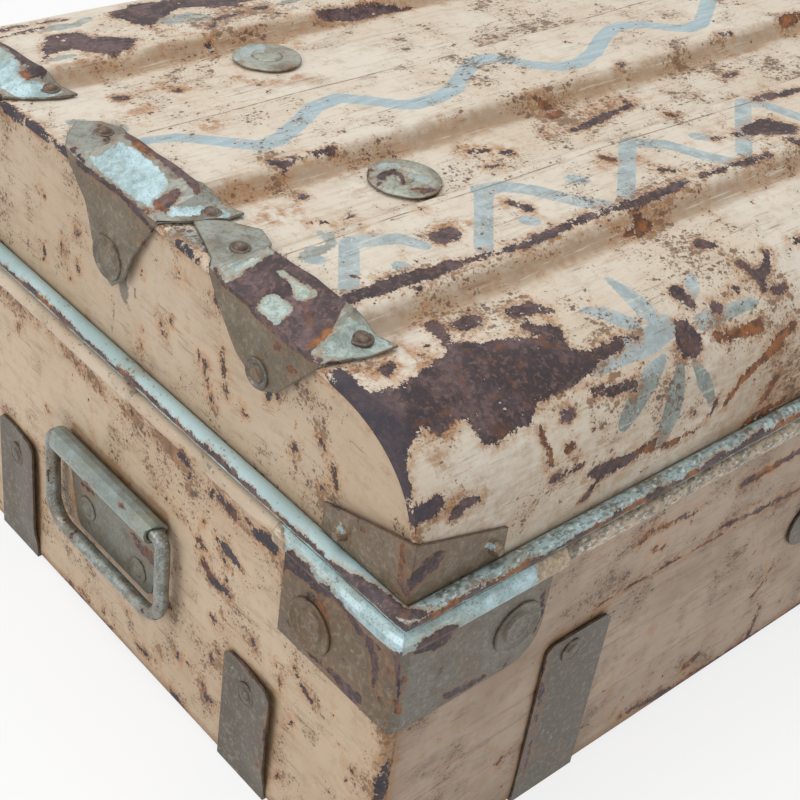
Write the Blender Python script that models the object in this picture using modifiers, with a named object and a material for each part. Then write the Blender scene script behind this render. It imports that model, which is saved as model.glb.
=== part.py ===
"""Pressed-steel trunk with a domed, battened lid, in metres, +Z up.

The trunk is laid out from its near left corner: x runs along the length from the left end, y from the
front face to the back, z up from the ground. One empty places that corner so that the origin is at the
middle of the underside.
"""

import math

import bpy
import bmesh
from mathutils import Matrix, Vector

# Overall sizes
LENGTH = 0.762
DEPTH = 0.456
SHEET = 0.0010
STRAP_SHEET = 0.0015
GAP = 0.0003
BOX_CORNER = 0.0035
MERGE = 1e-6
OVERRUN = 0.002
MARKER_SIZE = 0.03

# Base walls
WALL_FOOT = 0.0021
SEAM = 0.0070
BAND_FOOT = 0.131
BAND_TOP = 0.1885
BAND_PROUD = 0.0015
NECK_FOOT = 0.203
NECK_TOP = 0.222
NECK_IN = 0.0028
PRESS_BORDER = 0.024
PRESS_SLOPE = 0.012

# Rolled rims
BASE_BEAD_Z = 0.1975
BASE_BEAD_R = 0.0055
LID_BEAD_Z = 0.210
LID_BEAD_R = 0.0050
BEAD_OUT = 0.0045
BEAD_MITRE = 0.8

# Lid shape
LID_FOOT = 0.2053
FOLD_FOOT = 0.216
FRONT_WALL_HEIGHT = 0.0377
REAR_WALL_HEIGHT = 0.0627
LID_HEIGHT = 0.0999
FRONT_WALL_TOP = LID_FOOT + FRONT_WALL_HEIGHT
REAR_WALL_TOP = LID_FOOT + REAR_WALL_HEIGHT
ROOF_TOP = LID_FOOT + LID_HEIGHT
FRONT_ROUND = 0.058
REAR_ROUND = 0.030
ROOF_CREST_Y = 0.258
ROOF_DROP = 0.0082
ROOF_REACH = 0.193
ROUND_FULLNESS = 0.55
FOLD_PROUD = 0.0012
FOLD_WIDTH = 0.0042

# Roof battens
BATTEN_RISE = 0.009
BATTEN_SLOPE = 0.011
BATTEN_TAPER = (0.003, 0.032)
BATTEN_CRESTS = ((0.087, 0.140), (0.204, 0.258), (0.350, 0.402))

# Rivets and washers
RIVET_R = 0.0045
RIVET_H = 0.0022
WASHER_R = 0.015
WASHER_H = 0.0010
RIVET_BITE = 0.0006
WASHER_RIVET_R = 0.0060

# Base corner brackets
BRACKET_END = 0.082
BRACKET_FRONT = 0.096
BRACKET_WRAP_R = 0.0070
BRACKET_LOBE = 0.020
BRACKET_FLAT = 0.004
BRACKET_END_WASHER = (0.0587, 0.1525)
BRACKET_FRONT_WASHER = (0.0764, 0.1594)

# Lid corner brackets
LID_BRACKET_END = 0.058
LID_BRACKET_FRONT = 0.056
LID_BRACKET_LIFT = 0.0005
LID_BRACKET_PEAK_HEIGHT = 0.034
LID_BRACKET_TIP_HEIGHT = 0.0165
LID_BRACKET_SHEET = 0.0012
NAIL_R = 0.0042
NAIL_H = 0.0045
NAIL_RISE = 0.008
NAIL_END = 0.044
NAIL_FRONT = 0.049

# Straps that fold under the box
FRONT_STRAP = (0.110, 0.159)
FRONT_STRAP_TOP = 0.122
FRONT_STRAP_RIVET = (0.130, 0.110)
END_STRAP_WIDTH = 0.042
END_STRAPS = ((0.101, 0.084, 0.066), (0.335, 0.089, 0.070))
STRAP_TAB = 0.014
STRAP_NOSE = 0.004
STRAP_RIVET_R = 0.0055

# End handles
HANDLE_Y = 0.228
HANDLE_LENGTH = 0.095
HANDLE_Z = 0.124
HANDLE_OUT = 0.0080
HANDLE_TUBE_R = 0.0072
HANDLE_SHEET = 0.0019
HANDLE_RIVET_H = 0.0011
HANDLE_BEND = (0.006, 0.004)
HANDLE_TAPER_DROP = 0.012
HANDLE_PLATE_FOOT = 0.065
HANDLE_PLATE_TAPER = 0.010
HANDLE_RIVETS = ((0.255, 0.084), (0.203, 0.0765))
BAIL_R = 0.0045
BAIL_WIDTH = 0.111
BAIL_DROP = 0.062
BAIL_BEND = 0.017
BAIL_PIVOT = 0.016
BAIL_TURN = 0.006

# Back hinges
HINGE_FROM_END = 0.150
HINGE_WIDTH = 0.054
HINGE_PIN_R = 0.0020
HINGE_SHEET = 0.0012
KNUCKLE_GAP = 0.0006
KNUCKLE_ROOM = 0.001
LEAF_ROOM = 0.004
HINGE_Z = 0.2035
HINGE_BASE_FOOT = 0.150
HINGE_LID_TOP = 0.250
HINGE_BASE_BEND = (0.006, 0.0035)
HINGE_LID_BEND = (0.005, 0.0045)
HINGE_RIVET_IN = (0.012, 0.010)
PIN_HEAD_H = 0.0012
PIN_HEAD_R = 0.0032

# Front hasp
HASP_WIDTH = 0.038
HASP_Z = 0.223
HASP_OUT = 0.0068
HASP_BEND = (0.0085, 0.0015)
HASP_ROOM = 0.002
HASP_RIVET_R = 0.0035
HASP_RIVET_IN = (0.008, 0.0055)
HASP_BRACKET_TOP = 0.2425
HASP_TAIL_OUT = 0.0050
HASP_TAIL_TOP = 0.178
HASP_TAIL_RUN = 0.012
HASP_FOOT = 0.068
HASP_NOSE = ((0.0, 0.008), (0.005, 0.0015), (0.012, 0.0))
HASP_SLOT = (0.0080, 0.0300)
STAPLE_Z = 0.094
STAPLE_PLATE = (0.104, 0.034)
STAPLE_WIRE_R = 0.0025
STAPLE_SPAN = 0.016
STAPLE_REACH = 0.0205
STAPLE_RIVET_R = 0.0055

# Roof roundels
ROUNDEL_R = 0.0190
ROUNDEL_H = 0.0014
ROUNDEL_HEAD_R = 0.0070
ROUNDEL_HEAD_H = 0.0026
ROUNDELS = ((0.133, 0.1722), (0.156, 0.3190))
BACKING_R = 0.013
BACKING_H = 0.0014
ROUNDEL_LIFT = 0.0004

# Batten end caps: plan outlines of (x from the end, y), and flanges of (y, z) down the end panel
CAP_SHEET = 0.0013
CAP_SIDE = 0.0016
CAP_LIFT = 0.0003
CAP_SLOPE_STEP = 0.002
CAP_RAMP = 0.024
CAP_OUTLINES = (
    ((0.0, 0.071), (0.020, 0.066), (0.038, 0.0645), (0.034, 0.076), (0.029, 0.086), (0.028, 0.112),
     (0.024, 0.141), (0.035, 0.153), (0.039, 0.166), (0.028, 0.180), (0.014, 0.187), (0.009, 0.172),
     (0.004, 0.158), (0.0, 0.153)),
    ((0.0, 0.195), (0.016, 0.186), (0.030, 0.1815), (0.040, 0.1815), (0.035, 0.193), (0.028, 0.205),
     (0.027, 0.232), (0.025, 0.260), (0.033, 0.268), (0.036, 0.280), (0.030, 0.292), (0.018, 0.297),
     (0.008, 0.289), (0.0, 0.276)),
    ((0.0, 0.342), (0.014, 0.332), (0.027, 0.3265), (0.037, 0.326), (0.034, 0.338), (0.028, 0.350),
     (0.027, 0.376), (0.026, 0.402), (0.034, 0.411), (0.035, 0.4200), (0.026, 0.4275), (0.012, 0.4275),
     (0.0, 0.421)),
)
CAP_FLANGES = (
    ((0.150, 0.0), (0.142, 0.016), (0.128, 0.030), (0.109, 0.039), (0.098, 0.033), (0.072, 0.0)),
    ((0.270, 0.0), (0.257, 0.018), (0.251, 0.036), (0.243, 0.052), (0.232, 0.056), (0.222, 0.047),
     (0.215, 0.030), (0.199, 0.0)),
    ((0.416, 0.0), (0.404, 0.017), (0.397, 0.034), (0.389, 0.048), (0.379, 0.052), (0.369, 0.044),
     (0.362, 0.028), (0.345, 0.0)),
)
CAP_RIVETS = (
    ((0.0265, 0.0703), (0.0215, 0.1660)),
    ((0.0290, 0.1868), (0.0215, 0.2810)),
    ((0.0260, 0.3325), (0.0215, 0.4200)),
)
CAP_FLANGE_RIVETS = ((0.112, 0.031), (0.236, 0.041), (0.383, 0.037))
CAP_RIVET_R = 0.0036
CAP_RIVET_BITE = 0.0007
CAP_WASHER_H = 0.0014
CAP_FLANGE_WASHERS = (0.0065, 0.0115, 0.0105)

# Derived places
FRONT_REACH = STAPLE_REACH
KNUCKLE_R = HINGE_PIN_R + GAP + HINGE_SHEET
HINGE_OUT = BEAD_OUT + BASE_BEAD_R + GAP + KNUCKLE_R
REAR_REACH = HINGE_OUT + KNUCKLE_R
BEAD_CLEAR = BEAD_OUT + max(BASE_BEAD_R, LID_BEAD_R) + GAP
LID_BRACKET_FOOT = LID_BEAD_Z + LID_BEAD_R + LID_BRACKET_LIFT
FRONT_Y = -DEPTH / 2 + (FRONT_REACH - REAR_REACH) / 2
HASP_X = LENGTH / 2

for obj in list(bpy.data.objects):
    bpy.data.objects.remove(obj, do_unlink=True)

trunk = bpy.data.collections.new("decorative_trunk")
bpy.context.scene.collection.children.link(trunk)
cutters = bpy.data.collections.new("cutters")
bpy.context.scene.collection.children.link(cutters)


def material(name, colour, roughness, metallic):
    """A Principled BSDF in one colour."""
    mat = bpy.data.materials.new(name)
    mat.use_nodes = True
    mat.diffuse_color = (*colour, 1.0)
    shader = mat.node_tree.nodes["Principled BSDF"]
    shader.inputs["Base Color"].default_value = (*colour, 1.0)
    shader.inputs["Roughness"].default_value = roughness
    shader.inputs["Metallic"].default_value = metallic
    return mat


CREAM = material("cream_paint", (0.74, 0.62, 0.48), 0.6, 0.0)
TAN = material("tan_paint", (0.56, 0.40, 0.28), 0.6, 0.0)
BLUE = material("blue_paint", (0.34, 0.50, 0.50), 0.45, 0.0)
GREY = material("grey_iron", (0.16, 0.15, 0.13), 0.5, 0.6)
RUST = material("rusty_iron", (0.09, 0.05, 0.04), 0.6, 0.4)
STEEL = material("worn_steel", (0.33, 0.36, 0.37), 0.4, 0.8)


def empty(name, place):
    """An empty that carries the pieces laid out from it."""
    obj = bpy.data.objects.new(name, None)
    obj.empty_display_size = MARKER_SIZE
    obj.location = place
    trunk.objects.link(obj)
    return obj


CORNER = Vector((-LENGTH / 2, FRONT_Y, 0.0))
HINGE_AXIS = CORNER + Vector((LENGTH / 2, DEPTH + HINGE_OUT, HINGE_Z))
LEFT_BAIL_AXIS = CORNER + Vector((-HANDLE_OUT, HANDLE_Y, HANDLE_Z))
RIGHT_BAIL_AXIS = CORNER + Vector((LENGTH + HANDLE_OUT, HANDLE_Y, HANDLE_Z))
HASP_AXIS = CORNER + Vector((HASP_X, -HASP_OUT, HASP_Z))
base_frame = empty("base_frame", (0.0, 0.0, 0.0))
lid_frame = empty("lid_frame", HINGE_AXIS)
left_bail_frame = empty("left_bail_frame", LEFT_BAIL_AXIS)
right_bail_frame = empty("right_bail_frame", RIGHT_BAIL_AXIS)
hasp_frame = empty("hasp_frame", HASP_AXIS)


def add(name, bm, mat, frame, outside=None):
    """Makes the mesh an object of the trunk, laid out from the near corner and carried by its frame."""
    if outside is not None:
        bm.normal_update()
        if sum(f.normal.dot(outside(f.calc_center_median())) * f.calc_area() for f in bm.faces) < 0:
            bmesh.ops.reverse_faces(bm, faces=bm.faces[:])
    mesh = bpy.data.meshes.new(name)
    bm.to_mesh(mesh)
    bm.free()
    mesh.materials.append(mat)
    mesh.shade_smooth()
    mesh.set_sharp_from_angle(angle=math.radians(35))
    obj = bpy.data.objects.new(name, mesh)
    obj.location = CORNER
    if frame is None:
        cutters.objects.link(obj)
        obj.hide_render = True
        obj.display_type = "WIRE"
        return obj
    trunk.objects.link(obj)
    obj.parent = frame
    obj.matrix_parent_inverse = Matrix.Translation(-frame.location)
    return obj


def boolean(obj, tool, operation):
    """Joins a tool to the object, or cuts it with it."""
    mod = obj.modifiers.new(operation.lower(), "BOOLEAN")
    mod.operation = operation
    mod.object = tool
    mod.solver = "EXACT"


def finished(obj):
    """The object's mesh with its modifiers, in its own coordinates."""
    bpy.context.view_layer.update()
    depsgraph = bpy.context.evaluated_depsgraph_get()
    return bpy.data.meshes.new_from_object(obj.evaluated_get(depsgraph))


def mirrored(obj, name, axis, size, frame):
    """A copy of a finished piece, mirrored across the middle of the trunk."""
    mesh = finished(obj)
    bm = bmesh.new()
    bm.from_mesh(mesh)
    bpy.data.meshes.remove(mesh)
    for v in bm.verts:
        v.co[axis] = size - v.co[axis]
    bmesh.ops.reverse_faces(bm, faces=bm.faces[:])
    return add(name, bm, obj.data.materials[0], frame)


def grid(columns, rows, place):
    """An open surface of columns by rows of points, each placed by its two numbers."""
    bm = bmesh.new()
    bmesh.ops.create_grid(bm, x_segments=columns - 1, y_segments=rows - 1, size=0.5)
    for v in bm.verts:
        i = round((v.co.x + 0.5) * (columns - 1))
        j = round((v.co.y + 0.5) * (rows - 1))
        v.co = place(i, j)
    return bm


def thicken(line, thickness):
    """The closed section of a sheet whose one side is the line: the other side is to the line's left."""
    other = []
    for k, point in enumerate(line):
        p = Vector(point)
        before = (p - Vector(line[k - 1])).normalized() if k else None
        after = (Vector(line[k + 1]) - p).normalized() if k + 1 < len(line) else None
        before = before or after
        after = after or before
        normal = Vector((-before.y - after.y, before.x + after.x)).normalized()
        other.append(p + normal * (thickness / normal.dot(Vector((-after.y, after.x)))))
    return [tuple(p) for p in line] + [tuple(p) for p in reversed(other)]


def sweep(stations, section, closed=False):
    """A closed section of (outward, z) points carried along stations of (x, y, outward x, outward y)."""
    sections = [section(k) for k in range(len(stations))]
    count = len(sections[0])
    rows = len(stations) + (1 if closed else 0)

    def place(i, j):
        x, y, nx, ny = stations[j % len(stations)]
        d, z = sections[j % len(stations)][i % count]
        return (x + nx * d, y + ny * d, z)

    bm = grid(count + 1, rows, place)
    bmesh.ops.remove_doubles(bm, verts=bm.verts[:], dist=MERGE)
    if not closed:
        edges = [e for e in bm.edges if e.is_boundary]
        bmesh.ops.holes_fill(bm, edges=edges, sides=0)
    bmesh.ops.triangulate(bm, faces=bm.faces[:])
    bmesh.ops.recalc_face_normals(bm, faces=bm.faces[:])
    return bm


def corner(radius, mitre, steps=4):
    """Stations round the near left corner, from the end face to the front face."""
    out = []
    for k in range(steps + 1):
        t = math.pi / 2 * k / steps
        c = math.cos(t)
        s = math.sin(t)
        reach = 1.0 / max(c, s) ** mitre
        out.append((radius - radius * c, radius - radius * s, -c * reach, -s * reach))
    return out


def around(radius, mitre, steps=4):
    """Stations right round the trunk, counter-clockwise from the near left corner."""
    near_left = corner(radius, mitre, steps)
    near_right = [(LENGTH - x, y, -nx, ny) for x, y, nx, ny in reversed(near_left)]
    far_right = [(LENGTH - x, DEPTH - y, -nx, -ny) for x, y, nx, ny in near_left]
    far_left = [(x, DEPTH - y, nx, -ny) for x, y, nx, ny in reversed(near_left)]
    return near_left + near_right + far_right + far_left


def circle(out, z, radius, inner, steps):
    """A round section cut flat where it meets the wall."""
    half = math.acos((inner - out) / radius)
    points = []
    for k in range(steps + 1):
        t = -half + 2 * half * k / steps
        points.append((out + radius * math.cos(t), z + radius * math.sin(t)))
    return points


def dome(place, normal, radius, height, bite=RIVET_BITE, steps=10):
    """A rivet head standing on a place, sunk a little into it."""
    bm = bmesh.new()
    full = height + bite
    bmesh.ops.create_cone(bm, cap_ends=True, segments=steps, radius1=radius, radius2=radius * 0.55,
                          depth=full)
    bmesh.ops.translate(bm, verts=bm.verts[:], vec=(0, 0, full / 2 - bite))
    turn = Vector((0, 0, 1)).rotation_difference(Vector(normal)).to_matrix()
    bmesh.ops.rotate(bm, verts=bm.verts[:], cent=(0, 0, 0), matrix=turn)
    bmesh.ops.translate(bm, verts=bm.verts[:], vec=place)
    return bm


def gather(parts):
    """Several closed forms that stand apart, as one mesh."""
    whole = bmesh.new()
    for bm in parts:
        mesh = bpy.data.meshes.new("form")
        bm.to_mesh(mesh)
        bm.free()
        whole.from_mesh(mesh)
        bpy.data.meshes.remove(mesh)
    return whole


def box(low, high):
    """A block between two corners."""
    bm = bmesh.new()
    bmesh.ops.create_cube(bm, size=1.0)
    for v in bm.verts:
        v.co = [low[k] + (v.co[k] + 0.5) * (high[k] - low[k]) for k in range(3)]
    return bm


def smooth(t):
    """Zero to one with level ends."""
    t = min(1.0, max(0.0, t))
    return t * t * (3 - 2 * t)


# The lid's outer line

def roof(y):
    """Height of the roof between its battens."""
    return ROOF_TOP - ROOF_DROP * ((y - ROOF_CREST_Y) / ROOF_REACH) ** 2


def roof_slope(y):
    return -2 * ROOF_DROP * (y - ROOF_CREST_Y) / ROOF_REACH ** 2


def batten(y):
    """How far up a batten's side the line is at y, from 0 to 1."""
    best = 0.0
    for low, high in BATTEN_CRESTS:
        up = (y - low + BATTEN_SLOPE) / BATTEN_SLOPE
        down = (high + BATTEN_SLOPE - y) / BATTEN_SLOPE
        best = max(best, smooth(min(up, down)))
    return best


def taper(x):
    """How much of the battens' height there is at a distance from the nearer end."""
    low, high = BATTEN_TAPER
    return smooth((min(x, LENGTH - x) - low) / (high - low))


def bend(p0, p1, p2, p3, steps):
    """Points along a curve from p0 to p3, without p0."""
    out = []
    for k in range(1, steps + 1):
        t = k / steps
        a = (1 - t) ** 3
        b = 3 * t * (1 - t) ** 2
        c = 3 * t * t * (1 - t)
        d = t ** 3
        out.append((a * p0[0] + b * p1[0] + c * p2[0] + d * p3[0],
                    a * p0[1] + b * p1[1] + c * p2[1] + d * p3[1]))
    return out


def lid_line(foot, battens=True):
    """Points (y, z) of the plain lid line, front wall foot to rear wall foot."""
    front_top = (FRONT_ROUND, roof(FRONT_ROUND))
    rear_y = DEPTH - REAR_ROUND
    rear_top = (rear_y, roof(rear_y))
    line = [(0.0, foot), (0.0, FOLD_FOOT), (0.0, FRONT_WALL_TOP)]
    rise = front_top[1] - FRONT_WALL_TOP
    run = ROUND_FULLNESS * FRONT_ROUND
    line += bend((0.0, FRONT_WALL_TOP), (0.0, FRONT_WALL_TOP + ROUND_FULLNESS * rise),
                 (front_top[0] - run, front_top[1] - run * roof_slope(FRONT_ROUND)), front_top, 8)
    marks = []
    for low, high in BATTEN_CRESTS:
        for k in range(4):
            marks.append(low - BATTEN_SLOPE * (3 - k) / 3)
            marks.append(high + BATTEN_SLOPE * k / 3)
        if not battens:
            marks.append((low + high) / 2)
    for (_, high), (low, _) in zip(BATTEN_CRESTS, BATTEN_CRESTS[1:]):
        marks.append((high + low) / 2)
    if not battens:
        marks = marks[::2]
    line += [(y, roof(y)) for y in sorted(marks) if FRONT_ROUND < y < rear_y - FOLD_WIDTH]
    line.append(rear_top)
    drop = rear_top[1] - REAR_WALL_TOP
    run = ROUND_FULLNESS * REAR_ROUND
    line += bend(rear_top, (rear_y + run, rear_top[1] + run * roof_slope(rear_y)),
                 (DEPTH, REAR_WALL_TOP + ROUND_FULLNESS * drop), (DEPTH, REAR_WALL_TOP), 5)
    line += [(DEPTH, FOLD_FOOT), (DEPTH, foot)]
    return line


def inset(line, distance):
    """The line moved inward (to its right, going from front to rear)."""
    out = []
    for k, point in enumerate(line):
        p = Vector(point)
        before = (p - Vector(line[k - 1])).normalized() if k else None
        after = (Vector(line[k + 1]) - p).normalized() if k + 1 < len(line) else None
        before = before or after
        after = after or before
        normal = Vector((before.y + after.y, -before.x - after.x)).normalized()
        out.append(tuple(p + normal * (distance / normal.dot(Vector((after.y, -after.x))))))
    return out


# Base walls: each wall is one bent sheet, with the neck that the lid closes over

def wall_section(proud):
    """Outer line of a wall from its foot to the top of the neck."""
    return thicken([
        (0.0, WALL_FOOT), (0.0, BAND_FOOT - BAND_PROUD), (proud, BAND_FOOT), (proud, BAND_TOP),
        (0.0, BAND_TOP + BAND_PROUD), (0.0, NECK_FOOT - NECK_IN), (-NECK_IN, NECK_FOOT),
        (-NECK_IN, NECK_TOP)], SHEET)


plain = wall_section(0.0)
banded = wall_section(BAND_PROUD)
seam_x = SEAM + GAP / 2
bm = sweep([(seam_x, 0.0, 0.0, -1.0), (LENGTH - seam_x, 0.0, 0.0, -1.0)], lambda k: banded)
add("base_front_panel", bm, TAN, base_frame)
bm = sweep([(seam_x, DEPTH, 0.0, 1.0), (LENGTH - seam_x, DEPTH, 0.0, 1.0)], lambda k: plain)
add("base_back_panel", bm, TAN, base_frame)

near = corner(BOX_CORNER, 0.0)
far = [(x, DEPTH - y, nx, -ny) for x, y, nx, ny in reversed(near)]
end_x = SEAM - GAP / 2
stations = [(end_x, DEPTH, 0.0, 1.0)] + far + near + [(end_x, 0.0, 0.0, -1.0)]
end_left = add("base_end_left", sweep(stations, lambda k: plain), TAN, base_frame)
mirrored(end_left, "base_end_right", 0, LENGTH, base_frame)

# Bottom, pressed down so that its middle stands on the ground
inner = SHEET + GAP
xs = [inner, PRESS_BORDER, PRESS_BORDER + PRESS_SLOPE]
xs += [LENGTH - x for x in reversed(xs)]
ys = [inner, PRESS_BORDER, PRESS_BORDER + PRESS_SLOPE]
ys += [DEPTH - y for y in reversed(ys)]


def bottom_place(i, j):
    low = i in (2, 3) and j in (2, 3)
    x, y = xs[i], ys[j]
    if i in (0, 5) and j in (0, 5):
        clip = 0.3 * BOX_CORNER
        x += clip if i == 0 else -clip
        y += clip if j == 0 else -clip
    return (x, y, 0.0 if low else WALL_FOOT)


bottom = add("base_bottom_panel", grid(6, 6, bottom_place), TAN, base_frame, lambda p: Vector((0, 0, -1)))
mod = bottom.modifiers.new("sheet", "SOLIDIFY")
mod.thickness = SHEET
mod.offset = -1.0
mod.use_even_offset = True

# Rolled rims of the base and the lid
base_bead = circle(BEAD_OUT, BASE_BEAD_Z, BASE_BEAD_R, GAP, 9)
add("base_rim_wire", sweep(around(BOX_CORNER, BEAD_MITRE), lambda k: base_bead, True), BLUE, base_frame)
lid_bead = circle(BEAD_OUT, LID_BEAD_Z, LID_BEAD_R, GAP, 9)
add("lid_rim_wire", sweep(around(0.0, BEAD_MITRE), lambda k: lid_bead, True), BLUE, lid_frame)

# Base corner brackets, rolled over the rim
turn = corner(BOX_CORNER, BEAD_MITRE)
bracket_path = [(0.0, BRACKET_END, -1.0, 0.0)] + turn
for k in range(5):
    t = math.pi / 2 * k / 4
    bracket_path.append((BRACKET_FRONT - BRACKET_LOBE * (1 - math.sin(t)), 0.0, 0.0, -1.0))


def bracket_section(k):
    """Leaf, shoulder and roll; the front leaf lies on the raised band and ends in a lobe."""
    share = min(1.0, max(0.0, (k - 1) / 4)) if k < 6 else 1.0
    leaf = GAP + BAND_PROUD * share + STRAP_SHEET
    foot = BAND_FOOT
    if k > 5:
        lobe = math.pi / 2 * (k - 6) / 4
        foot = BAND_FOOT + BRACKET_LOBE * (1 - math.cos(lobe))
    line = [(leaf, foot), (leaf, BAND_FOOT + BRACKET_LOBE + BRACKET_FLAT), (leaf, BAND_TOP - BAND_PROUD)]
    for step in range(9):
        t = math.radians(-84 + 206 * step / 8)
        line.append((BEAD_OUT + BRACKET_WRAP_R * math.cos(t), BASE_BEAD_Z + BRACKET_WRAP_R * math.sin(t)))
    return thicken(line, STRAP_SHEET - GAP)


def bracket():
    obj = add("base_corner_bracket_front_left", sweep(bracket_path, bracket_section), GREY, base_frame)
    forms = []
    y, z = BRACKET_END_WASHER
    out = GAP + STRAP_SHEET
    forms.append(dome((-out, y, z), (-1, 0, 0), WASHER_R, WASHER_H, steps=20))
    x, z_front = BRACKET_FRONT_WASHER
    out_front = out + BAND_PROUD
    forms.append(dome((x, -out_front, z_front), (0, -1, 0), WASHER_R, WASHER_H, steps=20))
    boolean(obj, add("washers", gather(forms), GREY, None), "UNION")
    forms = [dome((-out - WASHER_H, y, z), (-1, 0, 0), WASHER_RIVET_R, RIVET_H),
             dome((x, -out_front - WASHER_H, z_front), (0, -1, 0), WASHER_RIVET_R, RIVET_H)]
    boolean(obj, add("washer_rivets", gather(forms), GREY, None), "UNION")
    return obj


front_left = bracket()
front_right = mirrored(front_left, "base_corner_bracket_front_right", 0, LENGTH, base_frame)
mirrored(front_left, "base_corner_bracket_back_left", 1, DEPTH, base_frame)
mirrored(front_right, "base_corner_bracket_back_right", 1, DEPTH, base_frame)


# Straps that run down a face and fold under the box

def strap(name, stations, top, rivet, frame=base_frame):
    """A strap with nosed corners, a tab under the box and one rivet."""
    def section(k):
        high = top - (STRAP_NOSE if k in (0, len(stations) - 1) else 0.0)
        out = GAP + STRAP_SHEET
        return thicken([(-STRAP_TAB, GAP), (out, GAP), (out, high)], STRAP_SHEET)
    obj = add(name, sweep(stations, section), GREY, frame)
    place, normal = rivet
    boolean(obj, add(name + "_rivet", dome(place, normal, STRAP_RIVET_R, RIVET_H), GREY, None), "UNION")
    return obj


def strap_marks(low, high):
    return [low, low + STRAP_NOSE, high - STRAP_NOSE, high]


out = GAP + STRAP_SHEET
path = [(x, 0.0, 0.0, -1.0) for x in strap_marks(*FRONT_STRAP)]
x, z = FRONT_STRAP_RIVET
front = strap("front_strap_left", path, FRONT_STRAP_TOP, ((x, -out, z), (0, -1, 0)))
front_twin = mirrored(front, "front_strap_right", 0, LENGTH, base_frame)
mirrored(front, "back_strap_left", 1, DEPTH, base_frame)
mirrored(front_twin, "back_strap_right", 1, DEPTH, base_frame)
for place, (y, top, z) in zip(("front", "back"), END_STRAPS):
    path = [(0.0, v, -1.0, 0.0) for v in strap_marks(y - END_STRAP_WIDTH / 2, y + END_STRAP_WIDTH / 2)]
    side = strap("end_strap_left_" + place, path, top, ((-out, y, z), (-1, 0, 0)))
    mirrored(side, "end_strap_right_" + place, 0, LENGTH, base_frame)

# End handles: a plate whose top is rolled over the bail
shift = HANDLE_OUT - HANDLE_TUBE_R
roll = []
for k in range(11):
    t = math.radians(180 - 295 * k / 10)
    roll.append((HANDLE_OUT + HANDLE_TUBE_R * math.cos(t), HANDLE_Z + HANDLE_TUBE_R * math.sin(t)))


def handle_section(k):
    foot = HANDLE_PLATE_FOOT + (STRAP_NOSE if k in (0, 3) else 0.0)
    flat_top, shoulder = HANDLE_BEND
    line = [(GAP, foot), (GAP, HANDLE_Z - HANDLE_TUBE_R - flat_top), (shift, HANDLE_Z - shoulder)] + roll
    return thicken(line, -HANDLE_SHEET)


half = HANDLE_LENGTH / 2
path = [(0.0, HANDLE_Y + v, -1.0, 0.0) for v in (-half, -half + STRAP_NOSE, half - STRAP_NOSE, half)]
bm = sweep(path, handle_section)
taper_top = HANDLE_Z - HANDLE_TAPER_DROP
for v in bm.verts:
    low = max(0.0, (taper_top - v.co.z) / (taper_top - HANDLE_PLATE_FOOT))
    v.co.y = HANDLE_Y + (v.co.y - HANDLE_Y) * (1 - low * 2 * HANDLE_PLATE_TAPER / HANDLE_LENGTH)
plate = add("handle_plate_left", bm, GREY, base_frame)
out = GAP + HANDLE_SHEET
forms = [dome((-out, y, z), (-1, 0, 0), RIVET_R, HANDLE_RIVET_H) for y, z in HANDLE_RIVETS]
boolean(plate, add("handle_rivets", gather(forms), GREY, None), "UNION")
mirrored(plate, "handle_plate_right", 0, LENGTH, base_frame)


def wire(name, points, radius, mat, frame, resolution=2):
    """A round wire along points, with closed ends, as a mesh."""
    curve = bpy.data.curves.new(name, "CURVE")
    curve.dimensions = "3D"
    curve.bevel_depth = radius
    curve.bevel_resolution = resolution
    curve.use_fill_caps = True
    spline = curve.splines.new("POLY")
    spline.points.add(len(points) - 1)
    for point, place in zip(spline.points, points):
        point.co = (*place, 1.0)
    guide = bpy.data.objects.new(name + "_line", curve)
    trunk.objects.link(guide)
    mesh = finished(guide)
    bm = bmesh.new()
    bm.from_mesh(mesh)
    bpy.data.objects.remove(guide, do_unlink=True)
    bpy.data.meshes.remove(mesh)
    bmesh.ops.remove_doubles(bm, verts=bm.verts[:], dist=MERGE)
    bmesh.ops.recalc_face_normals(bm, faces=bm.faces[:])
    return add(name, bm, mat, frame)


def arc(centre, radius, start, stop, steps):
    """Points (u, v) round a centre, angles in degrees."""
    out = []
    for k in range(steps + 1):
        t = math.radians(start + (stop - start) * k / steps)
        out.append((centre[0] + radius * math.cos(t), centre[1] + radius * math.sin(t)))
    return out


side = BAIL_WIDTH / 2
pivot = half - BAIL_PIVOT
loop = [(-pivot, 0.0)] + arc((-side + BAIL_TURN, -BAIL_TURN), BAIL_TURN, 90, 180, 3)
loop += arc((-side + BAIL_BEND, -BAIL_DROP + BAIL_BEND), BAIL_BEND, 180, 270, 5)
loop += [(-u, v) for u, v in reversed(loop)]
points = [(-HANDLE_OUT, HANDLE_Y + u, HANDLE_Z + v) for u, v in loop]
bail = wire("bail_left", points, BAIL_R, STEEL, left_bail_frame)
mirrored(bail, "bail_right", 0, LENGTH, right_bail_frame)


# Hinges and the hasp: a leaf bent out past the rims, with knuckles rolled round a pin

def knuckle(axis_out, axis_z, start, sweep_by):
    """The outer side of a roll round the pin, from its wall side."""
    out = []
    for k in range(9):
        t = math.radians(start + sweep_by * k / 8)
        out.append((axis_out + KNUCKLE_R * math.cos(t), axis_z + KNUCKLE_R * math.sin(t)))
    return out


def cut_boxes(name, spans, y_low, y_high, z_low, z_high):
    """Blocks that clear the room of the other leaf's knuckles."""
    return add(name, gather([box((low, y_low, z_low), (high, y_high, z_high)) for low, high in spans]),
               GREY, None)


def back_path(x):
    return [(x, DEPTH, 0.0, 1.0), (x + HINGE_WIDTH, DEPTH, 0.0, 1.0)]


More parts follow.
